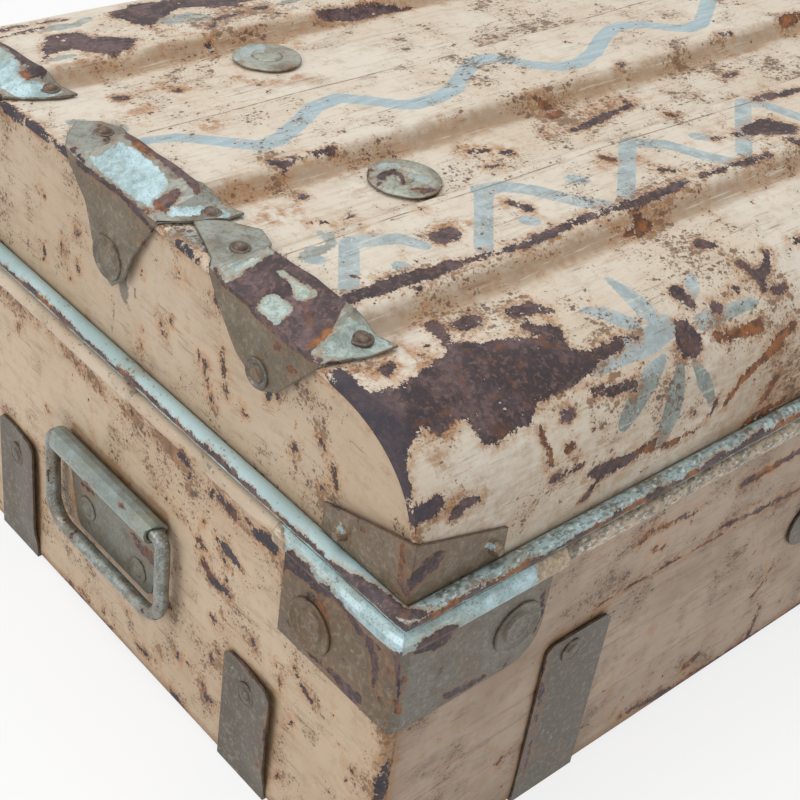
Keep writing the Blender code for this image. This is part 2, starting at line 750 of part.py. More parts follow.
reach = HINGE_OUT - KNUCKLE_R
third = HINGE_WIDTH / 3
hinge_x = HINGE_FROM_END - HINGE_WIDTH / 2
room = KNUCKLE_R + KNUCKLE_ROOM
y_low = DEPTH + GAP + LEAF_ROOM
y_high = DEPTH + HINGE_OUT + 2 * KNUCKLE_R
middle = [(hinge_x + third - KNUCKLE_GAP / 2, hinge_x + 2 * third + KNUCKLE_GAP / 2)]
outer = [(hinge_x - OVERRUN, hinge_x + third + KNUCKLE_GAP / 2),
         (hinge_x + 2 * third - KNUCKLE_GAP / 2, hinge_x + HINGE_WIDTH + OVERRUN)]

flat_by, bend_by = HINGE_BASE_BEND
line = [(GAP, HINGE_BASE_FOOT), (GAP, BASE_BEAD_Z - BASE_BEAD_R - flat_by), (reach, BASE_BEAD_Z - bend_by)]
line += knuckle(HINGE_OUT, HINGE_Z, 180, -300)
section = thicken(line, -HINGE_SHEET)
bm = sweep(back_path(hinge_x), lambda k: section)
leaf = add("hinge_base_leaf_left", bm, GREY, base_frame)
boolean(leaf, cut_boxes("base_leaf_room", middle, y_low, y_high, HINGE_Z - room, HINGE_Z + room),
        "DIFFERENCE")
rivet_in, rivet_rise = HINGE_RIVET_IN
forms = [dome((hinge_x + v, DEPTH + GAP + HINGE_SHEET, HINGE_BASE_FOOT + rivet_rise), (0, 1, 0), RIVET_R,
              RIVET_H) for v in (rivet_in, HINGE_WIDTH - rivet_in)]
boolean(leaf, add("base_leaf_rivets", gather(forms), GREY, None), "UNION")
mirrored(leaf, "hinge_base_leaf_right", 0, LENGTH, base_frame)

flat_by, bend_by = HINGE_LID_BEND
line = [(GAP, HINGE_LID_TOP), (GAP, LID_BEAD_Z + LID_BEAD_R + flat_by), (reach, LID_BEAD_Z + bend_by)]
line += knuckle(HINGE_OUT, HINGE_Z, 180, 300)
section = thicken(line, HINGE_SHEET)
bm = sweep(back_path(hinge_x), lambda k: section)
leaf = add("hinge_lid_leaf_left", bm, GREY, lid_frame)
boolean(leaf, cut_boxes("lid_leaf_room", outer, y_low, y_high, HINGE_Z - room, HINGE_Z + room),
        "DIFFERENCE")
forms = [dome((hinge_x + v, DEPTH + GAP + HINGE_SHEET, HINGE_LID_TOP - rivet_rise), (0, 1, 0), RIVET_R,
              RIVET_H) for v in (rivet_in, HINGE_WIDTH - rivet_in)]
boolean(leaf, add("lid_leaf_rivets", gather(forms), GREY, None), "UNION")
mirrored(leaf, "hinge_lid_leaf_right", 0, LENGTH, lid_frame)


def pin(name, x, y, z, width, frame):
    """A headed pin along x."""
    profile = [(0.0, PIN_HEAD_R), (PIN_HEAD_H, PIN_HEAD_R), (PIN_HEAD_H, HINGE_PIN_R),
               (PIN_HEAD_H + width + 2 * GAP, HINGE_PIN_R), (PIN_HEAD_H + width + 2 * GAP, PIN_HEAD_R),
               (2 * PIN_HEAD_H + width + 2 * GAP, PIN_HEAD_R)]

    def place(i, j):
        along, radius = profile[i]
        t = 2 * math.pi * (j % 12) / 12
        return (x - GAP - PIN_HEAD_H + along, y + radius * math.cos(t), z + radius * math.sin(t))

    bm = grid(len(profile), 13, place)
    bmesh.ops.remove_doubles(bm, verts=bm.verts[:], dist=MERGE)
    bmesh.ops.holes_fill(bm, edges=[e for e in bm.edges if e.is_boundary], sides=0)
    bmesh.ops.recalc_face_normals(bm, faces=bm.faces[:])
    return add(name, bm, STEEL, frame)


left_pin = pin("hinge_pin_left", hinge_x, DEPTH + HINGE_OUT, HINGE_Z, HINGE_WIDTH, base_frame)
mirrored(left_pin, "hinge_pin_right", 0, LENGTH, base_frame)

# Hasp on the front of the lid, hanging over the staple
hasp_low = HASP_X - HASP_WIDTH / 2
hasp_third = HASP_WIDTH / 3
front_path = [(hasp_low, 0.0, 0.0, -1.0), (hasp_low + HASP_WIDTH, 0.0, 0.0, -1.0)]
middle = [(hasp_low + hasp_third - KNUCKLE_GAP / 2, hasp_low + 2 * hasp_third + KNUCKLE_GAP / 2)]
outer = [(hasp_low - OVERRUN, hasp_low + hasp_third + KNUCKLE_GAP / 2),
         (hasp_low + 2 * hasp_third - KNUCKLE_GAP / 2, hasp_low + HASP_WIDTH + OVERRUN)]
hasp_room = KNUCKLE_R + HASP_ROOM
hasp_rooms = (-HASP_OUT - 2 * KNUCKLE_R, 0.0, HASP_Z - hasp_room, HASP_Z + hasp_room)
flat_by, bend_by = HASP_BEND
line = [(GAP, HASP_BRACKET_TOP), (GAP, HASP_Z + flat_by), (HASP_OUT - KNUCKLE_R, HASP_Z + bend_by)]
line += knuckle(HASP_OUT, HASP_Z, 180, 300)
section = thicken(line, HINGE_SHEET)
bm = sweep(front_path, lambda k: section)
leaf = add("hasp_bracket", bm, GREY, lid_frame)
boolean(leaf, cut_boxes("hasp_bracket_room", middle, *hasp_rooms), "DIFFERENCE")
rivet_in, rivet_drop = HASP_RIVET_IN
forms = [dome((hasp_low + v, -GAP - HINGE_SHEET, HASP_BRACKET_TOP - rivet_drop), (0, -1, 0), HASP_RIVET_R,
              RIVET_H) for v in (rivet_in, HASP_WIDTH - rivet_in)]
boolean(leaf, add("hasp_bracket_rivets", gather(forms), GREY, None), "UNION")
pin("hasp_pin", hasp_low, -HASP_OUT, HASP_Z, HASP_WIDTH, lid_frame)


nose = list(HASP_NOSE) + [(HASP_WIDTH - across, rise) for across, rise in reversed(HASP_NOSE)]


def hasp_section(k):
    """The strap hangs from the outer side of its roll, bends out past the rims and in again to its tail."""
    tail = HASP_TAIL_OUT + HINGE_SHEET
    clear = BEAD_CLEAR + HINGE_SHEET
    line = [(tail, HASP_FOOT + nose[k][1]), (tail, HASP_TAIL_TOP), (clear, HASP_TAIL_TOP + HASP_TAIL_RUN),
            (clear, LID_BEAD_Z + LID_BEAD_R)]
    return thicken(line + knuckle(HASP_OUT, HASP_Z, 10, 280), HINGE_SHEET)


bm = sweep([(hasp_low + across, 0.0, 0.0, -1.0) for across, _ in nose], hasp_section)
hasp = add("hasp_strap", bm, GREY, hasp_frame)
boolean(hasp, cut_boxes("hasp_room", outer, *hasp_rooms), "DIFFERENCE")
slot = box((HASP_X - HASP_SLOT[0] / 2, -HASP_TAIL_OUT - HINGE_SHEET - OVERRUN, STAPLE_Z - HASP_SLOT[1] / 2),
           (HASP_X + HASP_SLOT[0] / 2, -HASP_TAIL_OUT + OVERRUN, STAPLE_Z + HASP_SLOT[1] / 2))
boolean(hasp, add("hasp_slot", slot, GREY, None), "DIFFERENCE")

# Staple and its plate
plate_half = (STAPLE_PLATE[0] - STAPLE_PLATE[1]) / 2
plate_r = STAPLE_PLATE[1] / 2
outline = arc((HASP_X - plate_half, STAPLE_Z), plate_r, 90, 270, 10)
outline += arc((HASP_X + plate_half, STAPLE_Z), plate_r, -90, 90, 10)


def flat(outline, place, thickness, direction):
    """A flat sheet from its outline."""
    bm = bmesh.new()
    face = bm.faces.new([bm.verts.new(place(u, v)) for u, v in outline])
    out = bmesh.ops.extrude_face_region(bm, geom=[face])
    moved = [g for g in out["geom"] if isinstance(g, bmesh.types.BMVert)]
    bmesh.ops.translate(bm, verts=moved, vec=Vector(direction) * thickness)
    bmesh.ops.triangulate(bm, faces=bm.faces[:])
    bmesh.ops.recalc_face_normals(bm, faces=bm.faces[:])
    return bm


bm = flat(outline, lambda u, v: (u, -GAP, v), STRAP_SHEET, (0, -1, 0))
leaf = add("staple_plate", bm, GREY, base_frame)
forms = [dome((HASP_X + s * plate_half, -GAP - STRAP_SHEET, STAPLE_Z), (0, -1, 0), STAPLE_RIVET_R, RIVET_H)
         for s in (-1, 1)]
boolean(leaf, add("staple_plate_rivets", gather(forms), GREY, None), "UNION")
legs = STAPLE_SPAN / 2
inner_y = GAP + STRAP_SHEET + GAP
loop = [(inner_y, legs)] + arc((STAPLE_REACH - STAPLE_WIRE_R - legs, 0.0), legs, 90, -90, 8)
loop += [(inner_y, -legs)]
wire("staple", [(HASP_X, -u, STAPLE_Z + v) for u, v in loop], STAPLE_WIRE_R, STEEL, base_frame)

# Lid skin: one sheet over front, roof and back, folded over the end panels
plain_line = lid_line(LID_FOOT)
fold_line = inset(plain_line, FOLD_WIDTH)
taper_low, taper_high = BATTEN_TAPER
columns = [0.0] + [taper_low + (taper_high - taper_low) * k / 4 for k in range(5)]
columns += [LENGTH - x for x in reversed(columns)]
count = len(columns) + 4


def skin_place(i, j):
    y, z = plain_line[j]
    if i in (0, count - 1):
        y, z = fold_line[j]
    if i < 2:
        return (-FOLD_PROUD, y, z)
    if i > count - 3:
        return (LENGTH + FOLD_PROUD, y, z)
    x = columns[i - 2]
    return (x, y, z + BATTEN_RISE * batten(y) * taper(x))


bm = grid(count, len(plain_line), skin_place)
ends = [f for f in bm.faces
        if f.calc_center_median().z < FOLD_FOOT and not 0.0 < f.calc_center_median().x < LENGTH]
bmesh.ops.delete(bm, geom=ends, context="FACES")


def lid_outside(p):
    """Away from the middle of the lid."""
    return Vector((p.x - LENGTH / 2, p.y - DEPTH / 2, p.z - LID_FOOT))


skin = add("lid_skin", bm, CREAM, lid_frame, lid_outside)
mod = skin.modifiers.new("sheet", "SOLIDIFY")
mod.thickness = SHEET
mod.offset = -1.0
mod.use_even_offset = True
mod.use_quality_normals = True

# Lid end panels, inside the fold
end_line = inset(lid_line(LID_FOOT, False), SHEET + GAP)
bm = flat(end_line, lambda u, v: (GAP, u, v), SHEET, (1, 0, 0))
lid_end = add("lid_end_left", bm, TAN, lid_frame)
mirrored(lid_end, "lid_end_right", 0, LENGTH, lid_frame)

# Lid corner brackets, bent round the corner with a peaked top and two nails
turn = [(x - FOLD_PROUD, y, nx, ny) for x, y, nx, ny in corner(0.0, BEAD_MITRE)]
path = [(-FOLD_PROUD, LID_BRACKET_END, -1.0, 0.0)] + turn + [(LID_BRACKET_FRONT, 0.0, 0.0, -1.0)]


def lid_bracket_section(k):
    out = GAP + LID_BRACKET_SHEET
    height = LID_BRACKET_TIP_HEIGHT if k in (0, len(path) - 1) else LID_BRACKET_PEAK_HEIGHT
    foot = LID_BRACKET_FOOT
    return thicken([(out, foot), (out, foot + height)], LID_BRACKET_SHEET)


corner_piece = add("lid_corner_bracket_front_left", sweep(path, lid_bracket_section), GREY, lid_frame)
nail_z = LID_BRACKET_FOOT + NAIL_RISE
nails = [dome((-GAP - FOLD_PROUD - LID_BRACKET_SHEET, NAIL_END, nail_z), (-1, 0, 0), NAIL_R, NAIL_H),
         dome((NAIL_FRONT, -GAP - LID_BRACKET_SHEET, nail_z), (0, -1, 0), NAIL_R, NAIL_H)]
boolean(corner_piece, add("lid_bracket_nails", gather(nails), RUST, None), "UNION")
twin = mirrored(corner_piece, "lid_corner_bracket_front_right", 0, LENGTH, lid_frame)
mirrored(corner_piece, "lid_corner_bracket_back_left", 1, DEPTH, lid_frame)
mirrored(twin, "lid_corner_bracket_back_right", 1, DEPTH, lid_frame)


# Batten end caps: a hat over the batten's end, ears on the roof and a flange down the end panel

def cap_rise(y):
    """The hat's side line, a little wider than the batten."""
    best = 0.0
    for low, high in BATTEN_CRESTS:
        up = (y - low + CAP_SIDE + BATTEN_SLOPE) / BATTEN_SLOPE
        down = (high + CAP_SIDE + BATTEN_SLOPE - y) / BATTEN_SLOPE
        best = max(best, smooth(min(up, down)))
    return best


def cap_under(x, y):
    """Underside of a cap on the roof."""
    ramp = min(1.0, max(0.0, x / CAP_RAMP))
    return roof(y) + GAP + CAP_LIFT + BATTEN_RISE * cap_rise(y) * ramp


def cap_place(s, y):
    """Carries a flat pattern to the cap: s above 0 is on the roof, below 0 down the end panel."""
    if s >= 0:
        return Vector((s - FOLD_PROUD - GAP, y, cap_under(s, y)))
    return Vector((-FOLD_PROUD - GAP, y, cap_under(0, y) + s))


def cap(name, index):
    """One cap, from its flat pattern."""
    low, high = BATTEN_CRESTS[index]
    pattern = [(s, y) for s, y in CAP_OUTLINES[index]]
    pattern += [(-depth, y) for y, depth in CAP_FLANGES[index][1:-1]]
    bm = bmesh.new()
    bm.faces.new([bm.verts.new((s, y, 0.0)) for s, y in pattern])
    lines = [((s, 0.0, 0.0), (1, 0, 0)) for s in (0.0, CAP_RAMP * 0.5, CAP_RAMP)]
    for k in range(4):
        lines.append(((0.0, low - CAP_SIDE - BATTEN_SLOPE * (3 - k) / 3, 0.0), (0, 1, 0)))
        lines.append(((0.0, high + CAP_SIDE + BATTEN_SLOPE * k / 3, 0.0), (0, 1, 0)))
    lines.append(((0.0, (low + high) / 2, 0.0), (0, 1, 0)))
    for place, normal in lines:
        geom = bm.verts[:] + bm.edges[:] + bm.faces[:]
        bmesh.ops.bisect_plane(bm, geom=geom, plane_co=place, plane_no=normal, dist=MERGE)
    bmesh.ops.triangulate(bm, faces=bm.faces[:])
    for v in bm.verts:
        v.co = cap_place(v.co.x, v.co.y)
    obj = add(name, bm, GREY, lid_frame, lambda p: Vector((-1.0, 0, 1.0)))
    mod = obj.modifiers.new("sheet", "SOLIDIFY")
    mod.thickness = CAP_SHEET
    mod.offset = 1.0
    mod.use_even_offset = True
    forms = []
    for x, y in CAP_RIVETS[index]:
        step = CAP_SLOPE_STEP
        slope = (cap_under(x, y + step) - cap_under(x, y - step)) / (2 * step)
        normal = Vector((0, -slope, 1)).normalized()
        place = cap_place(x, y) + normal * CAP_SHEET
        forms.append(dome(place, normal, CAP_RIVET_R, RIVET_H, bite=CAP_RIVET_BITE))
    y, depth = CAP_FLANGE_RIVETS[index]
    place = cap_place(-depth, y) + Vector((-CAP_SHEET, 0, 0))
    forms.append(dome(place, (-1, 0, 0), CAP_FLANGE_WASHERS[index], CAP_WASHER_H, steps=14))
    boolean(obj, add(name + "_rivets", gather(forms), GREY, None), "UNION")
    return obj


for index, place in enumerate(("front", "middle", "rear")):
    piece = cap("batten_cap_left_" + place, index)
    mirrored(piece, "batten_cap_right_" + place, 0, LENGTH, lid_frame)

# Roof roundels, clamped through the roof to round backing washers
for place, (x, y) in zip(("front", "back"), ROUNDELS):
    normal = Vector((0, -roof_slope(y), 1)).normalized()
    foot = Vector((x, y, roof(y))) + normal * (GAP + ROUNDEL_LIFT)
    disc = add("roundel_left_" + place, dome(foot, normal, ROUNDEL_R, ROUNDEL_H, 0.0, 24), STEEL, lid_frame)
    head = dome(foot + normal * ROUNDEL_H, normal, ROUNDEL_HEAD_R, ROUNDEL_HEAD_H, steps=14)
    boolean(disc, add("roundel_head", head, STEEL, None), "UNION")
    mirrored(disc, "roundel_right_" + place, 0, LENGTH, lid_frame)
    under = Vector((x, y, roof(y))) - normal * (SHEET + 2 * GAP)
    backing = dome(under, -normal, BACKING_R, BACKING_H, 0.0, 16)
    back = add("roundel_backing_left_" + place, backing, STEEL, lid_frame)
    mirrored(back, "roundel_backing_right_" + place, 0, LENGTH, lid_frame)
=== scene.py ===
import functools
import math

import bpy
import bmesh
import numpy as np
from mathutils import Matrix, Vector


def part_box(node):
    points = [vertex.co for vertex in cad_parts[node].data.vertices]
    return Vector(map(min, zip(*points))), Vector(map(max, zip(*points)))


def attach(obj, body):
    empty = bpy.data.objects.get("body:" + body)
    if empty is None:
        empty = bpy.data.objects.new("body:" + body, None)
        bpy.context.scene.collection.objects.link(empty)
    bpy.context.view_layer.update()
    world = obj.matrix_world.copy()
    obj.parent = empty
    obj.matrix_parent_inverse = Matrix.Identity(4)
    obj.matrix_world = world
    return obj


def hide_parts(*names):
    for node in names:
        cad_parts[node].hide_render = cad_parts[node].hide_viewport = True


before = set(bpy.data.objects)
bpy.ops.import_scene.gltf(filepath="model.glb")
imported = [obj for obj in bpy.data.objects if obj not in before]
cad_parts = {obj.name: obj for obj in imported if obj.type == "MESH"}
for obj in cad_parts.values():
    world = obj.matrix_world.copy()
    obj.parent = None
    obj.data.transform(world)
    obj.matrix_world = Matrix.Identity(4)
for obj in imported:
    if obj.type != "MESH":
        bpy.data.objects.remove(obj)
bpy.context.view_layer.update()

# Sizes of the trunk, in metres; x from the left end, y from the front, z up
LENGTH = 0.762
DEPTH = 0.456
SHEET = 0.0010
GAP = 0.0003
FRONT_Y = -0.2264
CORNER = np.array([-LENGTH / 2, FRONT_Y, 0.0])
MM = 0.001
WALL_FOOT = 0.0021
BAND_FOOT = 0.131
BAND_TOP = 0.1885
BAND_PROUD = 0.0015
NECK_FOOT = 0.203
NECK_TOP = 0.222
NECK_IN = 0.0028
BOX_CORNER = 0.0035
SEAM = 0.0070
# The rolled rims: height of the middle, radius
BASE_BEAD = (0.1975, 0.0055)
LID_BEAD = (0.210, 0.0050)
BEAD_OUT = 0.0045
LID_FOOT = 0.2053
FRONT_WALL_TOP = 0.243
REAR_WALL_TOP = 0.268
FRONT_ROUND = 0.058
REAR_ROUND = 0.030
ROOF_TOP = 0.3052
ROOF_CREST_Y = 0.258
ROOF_DROP = 0.0082
ROOF_REACH = 0.193
FULLNESS = 0.55
FOLD_PROUD = 0.0012
FOLD_WIDTH = 0.0042
FOLD_SOFT = 0.0006
BATTEN_RISE = 0.009
BATTEN_SLOPE = 0.011
BATTEN_TAPER = (0.003, 0.032)
BATTEN_FLOOR = 0.285
BATTENS = ((0.087, 0.140), (0.204, 0.258), (0.350, 0.402))
CREASES = (0.087, 0.045)
SIDES = (("left", False), ("right", True))
DEPTHS = (("front", False), ("back", True))

# The photograph's camera
PHOTO = 800
FOCAL = 1540.9
CAMERA_PLACE = (-0.74686, -0.55295, 0.68206)
CAMERA_TURN = (53.406, -6.888, -41.169)

cam_data = bpy.data.cameras.new("photo_camera")
cam_data.sensor_width = 36.0
cam_data.lens = FOCAL * 36.0 / PHOTO
cam_data.clip_start = 0.05
camera = bpy.data.objects.new("photo_camera", cam_data)
camera.location = CAMERA_PLACE
camera.rotation_euler = [math.radians(a) for a in CAMERA_TURN]
bpy.context.scene.collection.objects.link(camera)
bpy.context.scene.camera = camera
CAM_AXES = np.array(camera.rotation_euler.to_matrix())


def srgb(r, g, b):
    """A colour from 0-255 display values."""
    out = []
    for v in (r, g, b):
        v /= 255.0
        out.append(v / 12.92 if v <= 0.04045 else ((v + 0.055) / 1.055) ** 2.4)
    return (*out, 1.0)


# Marks are distances in mm, stored as FAR less the distance, so that 0 is far away
FAR = 20.0

# Colours
RUST_DARK = srgb(56, 43, 45)
RUST_DEEP = srgb(96, 77, 78)
RUST_BROWN = srgb(104, 66, 44)
RUST_ORANGE = srgb(160, 98, 50)
OCHRE = srgb(166, 122, 78)
STAIN = srgb(176, 132, 88)
SOIL_AND_SHADE = srgb(122, 103, 80)
SPECK = srgb(112, 82, 58)


class Shader:
    """A material under construction."""

    def __init__(self, name):
        self.mat = bpy.data.materials.new(name)
        self.mat.use_nodes = True
        self.tree = self.mat.node_tree
        self.bsdf = self.tree.nodes["Principled BSDF"]
        self.place = self.tree.nodes.new("ShaderNodeTexCoord").outputs["Object"]

    def node(self, kind, **values):
        out = self.tree.nodes.new(kind)
        for key, value in values.items():
            setattr(out, key, value)
        return out

    def put(self, socket, value):
        if isinstance(value, bpy.types.NodeSocket):
            self.tree.links.new(value, socket)
        elif value is not None:
            socket.default_value = value

    def math(self, op, a, b=None):
        out = self.node("ShaderNodeMath", operation=op)
        for socket, value in zip(out.inputs, (a, b)):
            self.put(socket, value)
        return out.outputs[0]

    def chain(self, op, values):
        return functools.reduce(lambda a, b: self.math(op, a, b), values)

    def add(self, *values):
        return self.chain("ADD", values)

    def sub(self, a, b):
        return self.math("SUBTRACT", a, b)

    def mul(self, *values):
        return self.chain("MULTIPLY", values)

    def top(self, *values):
        return self.chain("MAXIMUM", values)

    def off(self, value, amount):
        """How far a noise is from its middle, times an amount."""
        return self.mul(self.sub(value, 0.5), amount)

    def mapped(self, location, stretch):
        """The object's own coordinates, shifted and stretched."""
        mapping = self.node("ShaderNodeMapping")
        self.put(mapping.inputs["Vector"], self.place)
        mapping.inputs["Location"].default_value = location
        mapping.inputs["Scale"].default_value = stretch
        return mapping.outputs[0]

    def noise(self, size, detail=3.0, rough=0.55, stretch=(1, 1, 1), shift=0.0):
        """Noise from about 0 to 1, with features of a size in metres."""
        out = self.node("ShaderNodeTexNoise", noise_dimensions="3D")
        self.put(out.inputs["Vector"], self.mapped((shift, shift * 0.7, -shift), stretch))
        out.inputs["Scale"].default_value = 1.0 / size
        out.inputs["Detail"].default_value = detail
        out.inputs["Roughness"].default_value = rough
        return out.outputs["Fac"]

    def dots(self, size, radius, shift=0.0, stretch=(1, 1, 1)):
        """Irregular dots, one to a cell; the radius is a share of the cell."""
        place = self.mapped((shift, -shift, shift * 0.5), stretch)
        bend = self.node("ShaderNodeTexNoise")
        self.put(bend.inputs["Vector"], place)
        bend.inputs["Scale"].default_value = 1.6 / size
        bend.inputs["Detail"].default_value = 2.0
        mixed = self.node("ShaderNodeVectorMath", operation="MULTIPLY_ADD")
        self.put(mixed.inputs[0], bend.outputs["Color"])
        mixed.inputs[1].default_value = (size * 0.9,) * 3
        self.put(mixed.inputs[2], place)
        cells = self.node("ShaderNodeTexVoronoi", feature="F1")
        self.put(cells.inputs["Vector"], mixed.outputs[0])
        cells.inputs["Scale"].default_value = 1.0 / size
        return self.step(self.sub(cells.outputs["Distance"], radius), 0.05, -0.05)

    def step(self, value, low, high):
        """A smooth step of the value from low to high."""
        out = self.node("ShaderNodeMapRange", interpolation_type="SMOOTHSTEP")
        for socket, v in zip(out.inputs, (value, low, high)):
            self.put(socket, v)
        return out.outputs[0]

    def attr(self, name):
        return self.node("ShaderNodeAttribute", attribute_name=name).outputs["Fac"]

    def mix(self, factor, a, b):
        out = self.node("ShaderNodeMix", data_type="RGBA")
        self.put(out.inputs[0], factor)
        self.put(out.inputs[6], a)
        self.put(out.inputs[7], b)
        return out.outputs[2]

    def layer(self, under, value, low, high, amount, over):
        """A colour over another where a value passes a smooth step."""
        return self.mix(self.mul(self.step(value, low, high), amount), under, over)

    def distance(self, name, *noises):
        """A mark's distance in mm, made ragged by noises, each with its amount."""
        return self.add(self.sub(FAR, self.attr(name)),
                        *(self.off(value, -amount) for value, amount in noises))

    def split(self):
        out = self.node("ShaderNodeSeparateXYZ")
        self.put(out.inputs[0], self.place)
        return out.outputs

    def edge(self, radius):
        """How near an edge is, from 0 up."""
        bevel = self.node("ShaderNodeBevel", samples=4)
        bevel.inputs["Radius"].default_value = radius
        geometry = self.node("ShaderNodeNewGeometry")
        dot = self.node("ShaderNodeVectorMath", operation="DOT_PRODUCT")
        self.put(dot.inputs[0], bevel.outputs[0])
        self.put(dot.inputs[1], geometry.outputs["Normal"])
        return self.sub(1.0, dot.outputs["Value"])

    def done(self, colour, rough, height=None, depth=0.0003, metallic=0.0, specular=0.5, soft=0.0):
        self.put(self.bsdf.inputs["Base Color"], colour)
        self.put(self.bsdf.inputs["Roughness"], rough)
        self.put(self.bsdf.inputs["Metallic"], metallic)
        self.bsdf.inputs["Specular IOR Level"].default_value = specular
        if height is not None:
            bump = self.node("ShaderNodeBump")
            bump.inputs["Strength"].default_value = 1.0
            bump.inputs["Distance"].default_value = depth
            self.put(bump.inputs["Height"], height)
            if soft:
                rounded = self.node("ShaderNodeBevel", samples=4)
                rounded.inputs["Radius"].default_value = soft
                self.put(bump.inputs["Normal"], rounded.outputs[0])
            self.put(self.bsdf.inputs["Normal"], bump.outputs[0])
        return self.mat


def rust_colour(s, shift, warm=None):
    """Dark purple-brown rust with browner, bluer and paler places."""
    colour = s.mix(s.step(s.noise(0.022, 4, shift=shift), 0.42, 0.60), RUST_DARK, RUST_DEEP)
    colour = s.layer(colour, s.noise(0.012, 4, shift=shift + 1), 0.5, 0.62, 0.7, srgb(44, 39, 46))
    colour = s.layer(colour, s.noise(0.0030, 4, shift=shift + 3), 0.5, 0.64, 0.5, srgb(124, 98, 90))
    colour = s.layer(colour, s.noise(0.0022, 3, shift=shift + 9), 0.5, 0.38, 0.5, srgb(44, 34, 34))
    if warm is not None:
        blend = s.mix(s.step(s.noise(0.005, 4, shift=shift), 0.40, 0.62), srgb(90, 56, 36),
                      srgb(150, 94, 48))
        colour = s.mix(warm, colour, blend)
    colour = s.layer(colour, s.noise(0.008, 4, shift=shift + 2), 0.55, 0.72, 0.65, RUST_BROWN)
    return s.layer(colour, s.noise(0.0014, 2, shift=shift + 5), 0.6, 0.7, 0.25, RUST_ORANGE)


